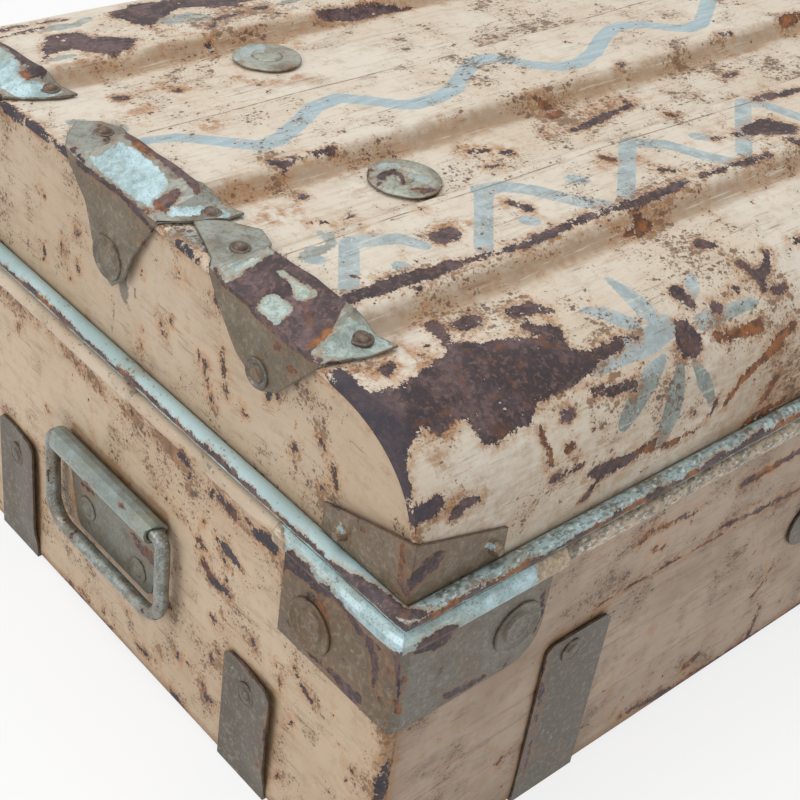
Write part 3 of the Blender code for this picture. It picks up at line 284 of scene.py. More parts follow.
def paint(name, light, mid, dark, wear=0.0, grain=(0.14, 1, 1), dirt=0.5, crease_line_depth=0.8, spotted=0.0):
    """Old paint with brush grain, pits, chips that show rust, stains and painted ornament."""
    s = Shader(name)
    large = s.noise(0.09, 3, 0.6)
    blotch = s.noise(0.024, 4, 0.6, shift=1.3)
    small = s.noise(0.0065, 4, 0.65, shift=2.1)
    fine = s.noise(0.0016, 3, 0.6, shift=0.7)
    brush = s.noise(0.0038, 4, 0.6, stretch=grain, shift=4.0)
    speck = s.attr("speck")
    colour = s.mix(s.step(large, 0.38, 0.64), light, mid)
    colour = s.layer(colour, blotch, 0.50, 0.74, 0.5, dark)
    colour = s.layer(colour, brush, 0.50, 0.72, 0.32, light)
    colour = s.layer(colour, brush, 0.50, 0.28, 0.36, dark)
    mottle = s.noise(0.010, 5, 0.7, shift=27)
    colour = s.layer(colour, mottle, 0.50, 0.70, 0.30, dark)
    stain = s.step(s.add(s.noise(0.017, 4, 0.65, shift=21), s.off(small, 0.45), s.off(fine, 0.35)), 0.57,
                   0.78)
    colour = s.mix(s.mul(stain, dirt), colour, OCHRE)
    rusty_wash = s.mul(s.attr("stain"), s.step(s.add(small, s.off(blotch, 0.7)), 0.36, 0.62))
    colour = s.mix(s.mul(rusty_wash, 0.75), colour, s.mix(s.step(fine, 0.4, 0.6), srgb(186, 136, 92),
                                                          srgb(152, 102, 62)))
    # Brown where the sheets mark dirt and painted shade
    grime_and_shade = s.attr("grime_and_shade")
    grime_shade_mask = s.step(s.add(grime_and_shade, s.off(brush, 0.9), s.off(small, 0.6)), 0.2, 1.0)
    colour = s.mix(s.mul(grime_shade_mask, 0.7), colour, s.mix(blotch, SOIL_AND_SHADE, OCHRE))
    ragged = s.distance("blue", (small, 1.8), (fine, 1.8))
    worn = s.step(s.add(fine, s.mul(small, 0.5), s.off(blotch, 0.3)), 0.96, 0.84)
    ornament = s.mul(s.step(ragged, 0.35, -0.35), worn)
    ahead = s.split()[1]
    tone = s.mix(s.step(brush, 0.36, 0.66), srgb(148, 169, 176), srgb(164, 187, 195))
    tone = s.mix(s.step(ahead, 0.0, -0.10), tone, s.mix(s.step(small, 0.4, 0.6), srgb(146, 160, 162),
                                                        srgb(168, 184, 188)))
    low_tone = s.mix(s.step(small, 0.38, 0.6), srgb(106, 114, 108), srgb(128, 140, 136))
    tone = s.mix(s.mul(s.step(s.split()[2], 0.277, 0.269), s.step(ahead, -0.14, -0.18), 0.9), tone,
                 low_tone)
    tone = s.mix(s.mul(s.step(s.add(blotch, s.mul(grime_and_shade, 0.3)), 0.5, 0.8), 0.4), tone, srgb(120, 136, 132))
    colour = s.mix(s.mul(ornament, 0.92), colour, tone)
    smear = s.step(s.distance("smear", (small, 7.0), (blotch, 7.0), (fine, 3.0)), 0.4, -0.4)
    ashen = s.mix(s.step(small, 0.40, 0.60), srgb(128, 132, 124), srgb(156, 166, 164))
    colour = s.mix(s.mul(smear, 0.88), colour, s.mix(s.attr("drip"), ashen, srgb(112, 106, 92)))
    # Thin dark lines along creases: rust on the lid's battens, painted shade along the front wall's pressed
    # creases
    for crease_key in ("crease_line_a", "crease_line_b"):
        gap = s.math("ABSOLUTE", s.sub(s.attr(crease_key), FAR))
        line = s.step(s.add(gap, s.off(small, -1.4)), 0.75, 0.15)
        line = s.mul(line, s.step(brush, 0.36, 0.52))
        colour = s.mix(s.mul(line, crease_line_depth), colour, srgb(112, 82, 62))
    scratch = s.noise(0.0016, 3, 0.55, stretch=[g if g > 0.5 else g * 0.35 for g in grain], shift=15.0)
    colour = s.mix(s.mul(s.step(scratch, 0.58, 0.70), s.step(blotch, 0.40, 0.56), 0.5), colour, SPECK)
    colour = s.layer(colour, scratch, 0.40, 0.32, 0.45, light)
    grit = s.noise(0.0008, 2, 0.6, shift=17.0)
    loose = s.distance("rust", (blotch, 7.0), (small, 7.0), (fine, 6.5), (grit, 2.5))
    dense = s.add(s.off(blotch, 1.5), s.off(large, 0.8), s.mul(speck, 0.17),
                  s.mul(s.step(loose, 9.0, 0.0), 0.16), spotted - 0.03)
    pits = s.top(s.dots(0.0036, dense, 2.0, stretch=(0.7, 1, 1)),
                 s.mul(s.dots(0.0017, s.mul(dense, 1.1), 5.0), 0.8))
    tint = s.mix(s.step(small, 0.42, 0.58), srgb(120, 88, 60), srgb(78, 58, 50))
    colour = s.mix(s.mul(pits, 0.85), colour, tint)
    chip_noise = s.add(s.noise(0.0125, 3, 0.6, shift=7.7), s.off(fine, 0.3), s.off(grit, 0.12),
                       s.mul(speck, 0.05))
    chips = s.step(chip_noise, 0.745 - wear, 0.76 - wear)
    core = s.top(s.step(loose, 0.2, -0.2), chips)
    halo = s.top(s.step(loose, 6.5, -0.5), s.step(chip_noise, 0.655 - wear, 0.75 - wear))
    halo = s.mul(halo, s.step(s.add(small, s.mul(brush, 0.5)), 0.5, 0.95))
    colour = s.mix(s.mul(halo, 0.8), colour, STAIN)
    rim = s.mul(s.step(loose, 1.9, 0.0), s.step(s.add(blotch, s.off(small, 0.8)), 0.42, 0.56))
    colour = s.mix(s.mul(rim, 0.72), colour, s.mix(fine, RUST_BROWN, RUST_ORANGE))
    # A pale line along the paint's edge round rust: a painted highlight
    lit_lip = s.mul(s.step(loose, 1.0, 0.45), s.step(brush, 0.44, 0.58))
    colour = s.mix(s.mul(lit_lip, 0.5), colour, light)
    near_rim = s.step(s.add(s.math("ABSOLUTE", s.split()[0]), s.off(blotch, 0.02)), 0.362, 0.374)
    deep = s.mix(s.mul(near_rim, 0.65), rust_colour(s, 3.0, s.attr("warm")), srgb(50, 48, 58))
    colour = s.mix(core, colour, deep)
    dust = s.mul(s.dots(0.0045, s.mul(s.sub(s.noise(0.02, 3, shift=31), 0.52), 1.6), 7.0), core)
    colour = s.mix(s.mul(dust, 0.75), colour, light)
    height = s.add(s.mul(core, -0.55), s.mul(brush, 0.12), s.mul(fine, 0.14), s.mul(pits, -0.25),
                   s.mul(ornament, 0.08), s.mul(scratch, 0.10), s.mul(s.mul(core, grit), 0.3))
    rough = s.add(0.48, s.mul(core, 0.1), s.mul(brush, 0.12), s.mul(grime_shade_mask, 0.1))
    return s.done(colour, rough, height, depth=0.0006, specular=0.4)


LID_PAINT = paint("lid_cream_paint", srgb(216, 207, 192), srgb(207, 192, 172), srgb(168, 145, 118),
                  spotted=0.05)
# The front walls take the ends' tan written darker: painted shade of the side that faces away from the
# light
SHADED_FRONT_PAINT = paint("front_tan_paint_shaded", srgb(176, 156, 137), srgb(152, 131, 111), srgb(108, 88, 70), 0.004,
                    crease_line_depth=0.45, spotted=0.06)
END_PAINT = paint("end_tan_paint", srgb(194, 173, 148), srgb(184, 160, 134), srgb(148, 122, 94), 0.004,
                  grain=(1, 0.2, 0.8), spotted=0.04)
LID_END_PAINT = paint("lid_end_paint", srgb(190, 170, 147), srgb(180, 158, 133), srgb(152, 128, 102), -0.03,
                      grain=(1, 0.2, 0.8))


def inside_metal():
    """The unpainted, browned inner side of the sheets."""
    s = Shader("inside_metal")
    large = s.noise(0.06, 4, 0.6)
    small = s.noise(0.007, 4, 0.65, shift=3)
    colour = s.mix(s.step(large, 0.4, 0.65), srgb(120, 104, 88), srgb(88, 70, 58))
    colour = s.layer(colour, small, 0.52, 0.7, 0.7, RUST_BROWN)
    colour = s.layer(colour, small, 0.45, 0.3, 0.4, srgb(148, 138, 124))
    return s.done(colour, s.add(0.5, s.mul(small, 0.2)), s.mul(small, 0.4), metallic=0.35)


INSIDE = inside_metal()


def iron(name, base, alt, rust=0.0, shift=0.0, pale_a=srgb(150, 172, 174), pale_b=srgb(178, 204, 210)):
    """Dull galvanised iron with dirt, rusty edges and leftover pale paint."""
    s = Shader(name)
    large = s.noise(0.045, 3, 0.6, shift=shift)
    blotch = s.noise(0.015, 4, 0.6, shift=shift + 1)
    small = s.noise(0.004, 4, 0.65, shift=shift + 2)
    fine = s.noise(0.0011, 3, 0.6, shift=shift + 3)
    colour = s.mix(s.step(large, 0.38, 0.62), base, alt)
    colour = s.layer(colour, small, 0.48, 0.66, 0.42, srgb(152, 147, 134))
    colour = s.layer(colour, blotch, 0.48, 0.66, 0.62, srgb(86, 74, 55))
    colour = s.layer(colour, s.noise(0.0022, 3, 0.6, shift=shift + 17), 0.5, 0.36, 0.4, srgb(76, 68, 54))
    colour = s.mix(s.mul(s.step(s.add(large, s.off(small, 0.4)), 0.52, 0.68), 0.35), colour,
                   srgb(118, 92, 62))
    # Fine pale flecks: painted glints
    colour = s.layer(colour, fine, 0.60, 0.7, 0.4, srgb(164, 164, 152))
    spotty = s.dots(0.0026, s.mul(s.sub(blotch, 0.49), 1.7), shift + 4)
    colour = s.mix(s.mul(spotty, 0.55), colour, srgb(84, 70, 54))
    # Scattered pale dots: painted glints
    glint = s.dots(0.0042, s.mul(s.sub(s.noise(0.02, 3, shift=shift + 8), 0.54), 1.5), shift + 6)
    colour = s.mix(s.mul(glint, 0.3), colour, srgb(188, 190, 180))
    edge = s.edge(0.0016)
    near = s.add(s.mul(edge, 1.5), s.off(small, 0.5), s.off(blotch, 0.8))
    rusty = s.step(near, 0.28 - rust, 0.40 - rust)
    pale = s.distance("pale", (blotch, 5.0), (small, 5.0), (fine, 2.0))
    left = s.step(pale, 0.35, -0.35)
    fringe = s.mul(s.step(pale, 2.6, 0.0), s.step(small, 0.42, 0.56))
    tone = s.mix(s.step(blotch, 0.40, 0.60), pale_a, pale_b)
    tone = s.layer(tone, small, 0.5, 0.66, 0.4, [min(1.0, 1.2 * c) for c in pale_b])
    tone = s.layer(tone, large, 0.50, 0.62, 0.45, srgb(152, 154, 132))
    dirt = s.dots(0.0024, s.mul(s.sub(s.noise(0.011, 3, shift=shift + 12), 0.46), 1.5), shift + 9)
    tone = s.mix(s.mul(dirt, 0.6), tone, srgb(100, 92, 76))
    tone = s.layer(tone, fine, 0.56, 0.64, 0.55, srgb(112, 116, 106))
    tone = s.mix(s.mul(s.step(s.add(small, s.mul(fine, 0.5)), 0.68, 0.58), 0.5), tone, srgb(120, 128, 118))
    colour = s.mix(s.mul(fringe, 0.6), colour, srgb(150, 118, 78))
    tone = s.mix(s.mul(s.attr("green"), s.step(fine, 0.64, 0.5)), tone,
                 s.mix(s.step(small, 0.44, 0.58), srgb(128, 134, 120), srgb(160, 170, 156)))
    colour = s.mix(left, colour, tone)
    cream = s.mix(s.step(small, 0.42, 0.6), srgb(156, 136, 112), srgb(188, 172, 150))
    cream = s.layer(cream, fine, 0.52, 0.6, 0.5, srgb(120, 104, 84))
    colour = s.mix(s.attr("cream"), colour, cream)
    spots = s.step(s.add(blotch, s.off(fine, 0.3)), 0.71 - 0.5 * rust, 0.74 - 0.5 * rust)
    reach = s.distance("rust", (blotch, 5.0), (small, 5.0), (fine, 2.0))
    placed_rust = s.step(reach, 0.3, -0.3)
    rusty = s.top(s.mul(rusty, s.step(left, 0.9, 0.2)), s.mul(spots, s.step(left, 0.9, 0.2)), placed_rust)
    halo = s.top(s.mul(s.step(near, 0.10 - rust, 0.36 - rust), 0.55), s.mul(s.step(reach, 3.0, 0.0), 0.7))
    colour = s.mix(s.mul(halo, s.step(small, 0.36, 0.6)), colour, srgb(132, 92, 56))
    colour = s.mix(rusty, colour, rust_colour(s, shift + 6, s.attr("warm")))
    # Paler along edges: a painted highlight
    edge_highlight = s.mul(s.step(edge, 0.05, 0.3), s.step(small, 0.6, 0.7))
    colour = s.mix(s.mul(edge_highlight, 0.4), colour, srgb(196, 198, 190))
    rough = s.add(0.28, s.mul(small, 0.22), s.mul(rusty, 0.18))
    height = s.add(s.mul(small, 0.25), s.mul(fine, 0.14), s.mul(rusty, -0.3), s.mul(left, 0.2),
                   s.mul(blotch, 0.3), s.mul(spotty, -0.15))
    return s.done(colour, rough, height, depth=0.0006, metallic=0.3, soft=0.0005)


def bead_paint(name, bead, light, alt, low_rust, worn):
    """A rolled rim's thick paint, worn along the front and through to rust along its lower side."""
    s = Shader(name)
    blotch = s.noise(0.016, 4, 0.6, stretch=(0.6, 0.6, 1))
    small = s.noise(0.0042, 4, 0.65, shift=2)
    fine = s.noise(0.0011, 3, 0.6, shift=3)
    large = s.noise(0.07, 3, 0.6, shift=5)
    x, y, z = s.split()[:3]
    front = s.step(y, FRONT_Y + 0.004, FRONT_Y - 0.002)
    low = s.math("DIVIDE", s.sub(bead[0], z), bead[1])
    colour = s.mix(s.step(large, 0.4, 0.6), light, alt)
    colour = s.layer(colour, small, 0.5, 0.66, 0.35, light)
    colour = s.layer(colour, blotch, 0.52, 0.68, 0.5, srgb(150, 134, 106))
    colour = s.mix(s.mul(front, s.step(s.add(small, s.off(blotch, 0.6)), 0.40, 0.56), worn), colour,
                   srgb(112, 102, 82))
    dense = s.add(s.off(blotch, 1.2), s.mul(front, 0.16), 0.14)
    dots = s.dots(0.0024, dense, 3.0, stretch=(0.7, 0.7, 1))
    colour = s.mix(s.mul(dots, 0.6), colour, srgb(92, 86, 72))
    # Scattered near-white dots, more on the front: painted glints
    glint = s.dots(0.0022, s.add(s.off(small, 0.9), s.mul(front, 0.24), 0.04), 8.0, stretch=(0.5, 0.5, 1))
    colour = s.mix(s.mul(glint, 0.6), colour, srgb(220, 228, 224))
    flecks = s.mul(front, s.step(s.noise(0.0018, 3, 0.6, stretch=(0.45, 1, 1), shift=12), 0.50, 0.40))
    colour = s.mix(s.mul(flecks, 0.6), colour, srgb(84, 84, 74))
    loose = s.add(s.off(blotch, 1.2), s.off(small, 1.2), s.off(large, 0.6), s.off(fine, 0.8))
    brown = s.mul(s.step(s.add(low, loose), low_rust, low_rust + 0.08),
                  s.step(s.add(low, s.mul(loose, 0.5)), low_rust + 0.75, low_rust + 0.6))
    halo = s.mul(s.step(s.add(low, loose), low_rust - 0.25, low_rust + 0.05),
                 s.step(low, low_rust + 0.8, low_rust))
    reach = s.distance("rust", (blotch, 5.0), (small, 5.0), (fine, 4.0))
    brown = s.top(brown, s.step(reach, 0.25, -0.25))
    halo = s.top(halo, s.step(reach, 4.0, 0.0))
    colour = s.mix(s.mul(halo, 0.6), colour, OCHRE)
    colour = s.mix(brown, colour, rust_colour(s, 8.0, s.attr("warm")))
    height = s.add(s.mul(brown, -0.6), s.mul(small, 0.3), s.mul(fine, 0.2), s.mul(dots, -0.3),
                   s.mul(blotch, 0.3))
    return s.done(colour, s.add(0.36, s.mul(brown, 0.2)), height, depth=0.0007, specular=0.5)


LID_BEAD_PAINT = bead_paint("lid_bead_paint", LID_BEAD, srgb(156, 180, 180),
                            srgb(172, 196, 198), -0.42, 0.22)
BASE_BEAD_PAINT = bead_paint("base_bead_paint", BASE_BEAD, srgb(196, 178, 156),
                             srgb(188, 166, 142), 0.55, 0.45)
IRON = iron("dull_iron", srgb(82, 72, 58), srgb(72, 62, 48))
HANDLE_IRON = iron("handle_iron", srgb(116, 115, 103), srgb(104, 99, 86), shift=2.2,
                   pale_a=srgb(124, 132, 126), pale_b=srgb(140, 152, 150))
BRACKET_IRON = iron("bracket_iron", srgb(108, 102, 91), srgb(96, 88, 75), rust=0.03, shift=4.1)
LID_BRACKET_IRON = iron("lid_bracket_iron", srgb(114, 96, 76), srgb(104, 84, 62), rust=0.03, shift=24.1)
BRACKET_SIDE_IRON = iron("bracket_side_iron", srgb(106, 84, 59), srgb(94, 72, 48), rust=0.05, shift=14.1)
ROUNDEL_IRON = iron("roundel_iron", srgb(158, 162, 150), srgb(142, 136, 120), shift=5.0,
                    pale_a=srgb(158, 168, 162), pale_b=srgb(164, 176, 174))
CAP_IRON = iron("cap_iron", srgb(148, 152, 144), srgb(126, 124, 110), shift=9.0)
FLANGE_IRON = iron("flange_iron", srgb(112, 98, 78), srgb(98, 84, 62), shift=7.0)
FASTENER = iron("rusty_fastener", srgb(92, 76, 66), srgb(74, 56, 48), rust=0.06, shift=3.3)


def steel_wire():
    s = Shader("bail_steel")
    small = s.noise(0.005, 4, 0.65)
    fine = s.noise(0.0012, 3, 0.6, shift=2)
    blotch = s.noise(0.02, 3, 0.6, shift=4)
    colour = s.mix(s.step(small, 0.4, 0.6), srgb(116, 118, 110), srgb(146, 150, 144))
    # Fine pale flecks: painted glints
    colour = s.layer(colour, fine, 0.56, 0.66, 0.5, srgb(200, 206, 202))
    rusty = s.step(s.add(blotch, s.off(small, 0.9)), 0.70, 0.75)
    colour = s.layer(colour, blotch, 0.5, 0.6, 0.5, srgb(116, 96, 74))
    colour = s.mix(rusty, colour, rust_colour(s, 1.5))
    return s.done(colour, s.add(0.34, s.mul(rusty, 0.3)), s.add(small, s.mul(fine, 0.4)), depth=0.0004,
                  metallic=0.5)


STEEL = steel_wire()


# Mesh helpers

def finish_piece(obj, body, nodes=(), angle=40):
    """Puts a piece in the scene, on its body."""
    bpy.context.scene.collection.objects.link(obj)
    obj.data.shade_smooth()
    obj.data.set_sharp_from_angle(angle=math.radians(angle))
    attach(obj, body)
    if nodes:
        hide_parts(*nodes)


def write_marks(mesh, attributes):
    """Stores values on a mesh's points, where the materials read them."""
    for key, values in attributes.items():
        layer = mesh.attributes.new(key, "FLOAT", "POINT")
        layer.data.foreach_set("value", np.asarray(values, dtype=np.float32).reshape(-1))


def grid_mesh(name, points, closed_i=False, closed_j=False, attributes=None, flip=False):
    """A mesh from an array of rows and columns of points laid out from the trunk's corner."""
    rows, columns = points.shape[:2]
    index = np.arange(rows * columns).reshape(rows, columns)
    i = np.arange(rows if closed_i else rows - 1)
    j = np.arange(columns if closed_j else columns - 1)
    a = index[np.ix_(i, j)]
    b = index[np.ix_(i, (j + 1) % columns)]
    c = index[np.ix_((i + 1) % rows, (j + 1) % columns)]
    d = index[np.ix_((i + 1) % rows, j)]
    quads = np.stack([a, b, c, d] if not flip else [d, c, b, a], -1).reshape(-1, 4)
    mesh = bpy.data.meshes.new(name)
    mesh.from_pydata((points.reshape(-1, 3) + CORNER).tolist(), [], quads.tolist())
    write_marks(mesh, attributes or {})
    mesh.update()
    return bpy.data.objects.new(name, mesh)


def painted_sheet(name, points, attributes, flip, mat, body, node, angle):
    """A sheet of the trunk, painted outside and bare inside."""
    obj = grid_mesh(name, points, attributes=attributes, flip=flip)
    obj.data.materials.append(mat)
    obj.data.materials.append(INSIDE)
    sheet = obj.modifiers.new("sheet", "SOLIDIFY")
    sheet.thickness = SHEET
    sheet.offset = -1.0
    sheet.use_even_offset = True
    sheet.material_offset = 1
    finish_piece(obj, body, [node], angle)


def wobble(points, size, seed):
    """Smooth bumps from about -1 to 1, a size across."""
    local = np.random.default_rng(seed)
    total = np.zeros(points.shape[:-1])
    for _ in range(7):
        direction = local.normal(size=3)
        direction /= np.linalg.norm(direction)
        wave = 2 * math.pi / (size * local.uniform(0.7, 1.4))
        total += np.sin(points @ direction * wave + local.uniform(0, 6.28))
    return total / 3.2


def smoothstep(t):
    t = np.clip(t, 0.0, 1.0)
    return t * t * (3 - 2 * t)


def most(*values):
    return functools.reduce(np.maximum, values)


def least(*values):
    return functools.reduce(np.minimum, values)


def fade(away, reach):
    """1 on a mark, falling off with the distance."""
    return np.exp(-np.maximum(away, 0) / reach)


def bell(away, width):
    return np.exp(-(away / width) ** 2)


# The lid's line

def roof(y):
    return ROOF_TOP - ROOF_DROP * ((y - ROOF_CREST_Y) / ROOF_REACH) ** 2


def roof_slope(y):
    return -2 * ROOF_DROP * (y - ROOF_CREST_Y) / ROOF_REACH ** 2


def batten(y, widen=0.0):
    best = np.zeros_like(np.asarray(y, dtype=float))
    for low, high in BATTENS:
        up = (y - low + widen + BATTEN_SLOPE) / BATTEN_SLOPE
        down = (high + widen + BATTEN_SLOPE - y) / BATTEN_SLOPE
        best = np.maximum(best, smoothstep(np.minimum(up, down)))
    return best


def taper(x):
    low, high = BATTEN_TAPER
    return smoothstep((np.minimum(x, LENGTH - x) - low) / (high - low))


def curve(p0, p1, p2, p3, steps):
    t = np.linspace(0, 1, steps + 1)[1:, None]
    p = [np.array(q, dtype=float) for q in (p0, p1, p2, p3)]
    return (1 - t) ** 3 * p[0] + 3 * t * (1 - t) ** 2 * p[1] + 3 * t * t * (1 - t) * p[2] + t ** 3 * p[3]


def lid_line(step=0.0028):
    """Points (y, z) of the lid's line without battens, front foot to rear foot."""
    front_top = (FRONT_ROUND, float(roof(FRONT_ROUND)))
    rear_y = DEPTH - REAR_ROUND
    rear_top = (rear_y, float(roof(rear_y)))
    walls = np.arange(LID_FOOT, FRONT_WALL_TOP, step)
    parts = [np.stack([walls * 0, walls], 1), np.array([[0.0, FRONT_WALL_TOP]])]
    rise = front_top[1] - FRONT_WALL_TOP
    run = FULLNESS * FRONT_ROUND
    slope = float(roof_slope(FRONT_ROUND))
    parts.append(curve((0, FRONT_WALL_TOP), (0, FRONT_WALL_TOP + FULLNESS * rise),
                       (front_top[0] - run, front_top[1] - run * slope), front_top, int(0.086 / step)))
    ys = np.linspace(FRONT_ROUND, rear_y, int((rear_y - FRONT_ROUND) / step))[1:-1]
    parts.append(np.stack([ys, roof(ys)], 1))
    parts.append(np.array([rear_top]))
    drop = rear_top[1] - REAR_WALL_TOP
    run = FULLNESS * REAR_ROUND
    slope = float(roof_slope(rear_y))
    parts.append(curve(rear_top, (rear_y + run, rear_top[1] + run * slope),
                       (DEPTH, REAR_WALL_TOP + FULLNESS * drop), (DEPTH, REAR_WALL_TOP), int(0.05 / step)))
    walls = np.arange(REAR_WALL_TOP - step, LID_FOOT, -step * 1.4)
    parts.append(np.stack([walls * 0 + DEPTH, walls], 1))
    parts.append(np.array([[DEPTH, LID_FOOT]]))
    return np.concatenate(parts)


LINE = lid_line()
LINE_S = np.concatenate([[0], np.cumsum(np.linalg.norm(np.diff(LINE, axis=0), axis=1))])


def line_normals(line):
    """Outward normals (y, z) along a line that runs front to rear."""
    run = np.gradient(line, axis=0)
    run /= np.linalg.norm(run, axis=1)[:, None]
    return np.stack([-run[:, 1], run[:, 0]], 1)


# Strokes placed by pixel of the photograph, laid on the surface that shows there

def pixel_ray(px):
    turn = np.array([(px[0] - PHOTO / 2) / FOCAL, -(px[1] - PHOTO / 2) / FOCAL, -1.0])
    return np.array(CAMERA_PLACE) - CORNER, CAM_AXES @ turn


TOP_LINE = np.stack([LINE[:, 0], LINE[:, 1] + BATTEN_RISE * batten(LINE[:, 0]) * (LINE[:, 1] > 0.29)], 1)


def on_lid(px):
    """Where a pixel lies on the lid, as (x, distance along the line)."""
    start, turn = pixel_ray(px)
    a = TOP_LINE[:-1]
    b = TOP_LINE[1:]
    d = turn[1:]
    e = b - a
    det = d[0] * -e[:, 1] + e[:, 0] * d[1]
    rel = a - start[1:]
    t = (rel[:, 0] * -e[:, 1] + e[:, 0] * rel[:, 1]) / det
    u = (d[0] * rel[:, 1] - d[1] * rel[:, 0]) / det
    good = (u >= 0) & (u <= 1) & (t > 0)
    if not good.any():
        near = np.argmin(np.abs(TOP_LINE[:, 1] - 0.3))
        return (0.0, LINE_S[near])
    k = np.where(good)[0][np.argmin(t[good])]
    return (start[0] + t[k] * turn[0], LINE_S[k] + u[k] * (LINE_S[k + 1] - LINE_S[k]))


PIXEL = MM / 1.6


def photo_places(points):
    """Pixels of points laid out from the corner, in metres of the picture near the trunk's corner."""
    away = (points + CORNER - np.array(CAMERA_PLACE)) @ CAM_AXES
    across = PHOTO / 2 - FOCAL * away[:, 0] / away[:, 2]
    down = PHOTO / 2 + FOCAL * away[:, 1] / away[:, 2]
    return np.stack([across, down], 1) * PIXEL


def picture_distance(points, strokes, patches=()):
    """Distance in mm to strokes and patches given in pixels, as the camera sees the points."""
    places = photo_places(points)
    scaled = [(width, [(x * PIXEL, y * PIXEL) for x, y in line]) for width, line in strokes]
    outlines = [[(x * PIXEL, y * PIXEL) for x, y in line] for line in patches]
    return np.minimum(stroke_distance(places, scaled), patch_distance(places, outlines))


def on_plane(px, axis):
    """Where a pixel lies on a wall: (x, z) on the front or (y, z) on the left end."""
    start, turn = pixel_ray(px)
    hit = start - start[axis] / turn[axis] * turn
    return (hit[1 - axis], hit[2])


def on_front(px):
    return on_plane(px, 1)


def on_end(px):
    return on_plane(px, 0)


def stroke_distance(points, strokes):
    """Distance in mm from surface points to the nearest stroke's edge, negative inside."""
    best = np.full(len(points), FAR)
    for width, line in strokes:
        line = np.array(line, dtype=float)
        widths = np.broadcast_to(np.asarray(width, dtype=float), (len(line),)) / 2
        low = line.min(0) - (widths.max() + FAR) * MM
        high = line.max(0) + (widths.max() + FAR) * MM
        near = np.where(((points > low) & (points < high)).all(1))[0]
        if not len(near):
            continue
        p = points[near]
        if len(line) == 1:
            best[near] = np.minimum(best[near], np.linalg.norm(p - line[0], axis=1) / MM - widths[0])
            continue
        for a, b, wa, wb in zip(line, line[1:], widths, widths[1:]):
            e = b - a
            u = np.clip(((p - a) @ e) / max(e @ e, 1e-12), 0, 1)
            gap = np.linalg.norm(p - a - u[:, None] * e, axis=1) / MM - (wa + (wb - wa) * u)
            best[near] = np.minimum(best[near], gap)
    return best


def patch_distance(points, patches):
    """Distance in mm to the nearest patch's outline, negative inside it."""
    best = np.full(len(points), FAR)
    for outline in patches:
        line = np.array(outline, dtype=float)
        edge = stroke_distance(points, [(0.0, np.vstack([line, line[:1]]))])
        inside = np.zeros(len(points), dtype=bool)
        for a, b in zip(line, np.roll(line, -1, axis=0)):
            cross = (a[1] > points[:, 1]) != (b[1] > points[:, 1])
            with np.errstate(divide="ignore", invalid="ignore"):
                at = (b[0] - a[0]) * (points[:, 1] - a[1]) / (b[1] - a[1]) + a[0]
            inside ^= cross & (points[:, 0] < at)
        best = np.minimum(best, np.where(inside, -edge, edge))
    return best


def marks(distance):
    return np.clip(FAR - distance, 0.0, 2 * FAR)


def warmth(distance):
    """1 on a warm mark, fading over its edge."""
    return smoothstep((1.5 - distance) / 2.5)


def placed(strokes, where):
    return [(width, [where(p) for p in line]) for width, line in strokes]


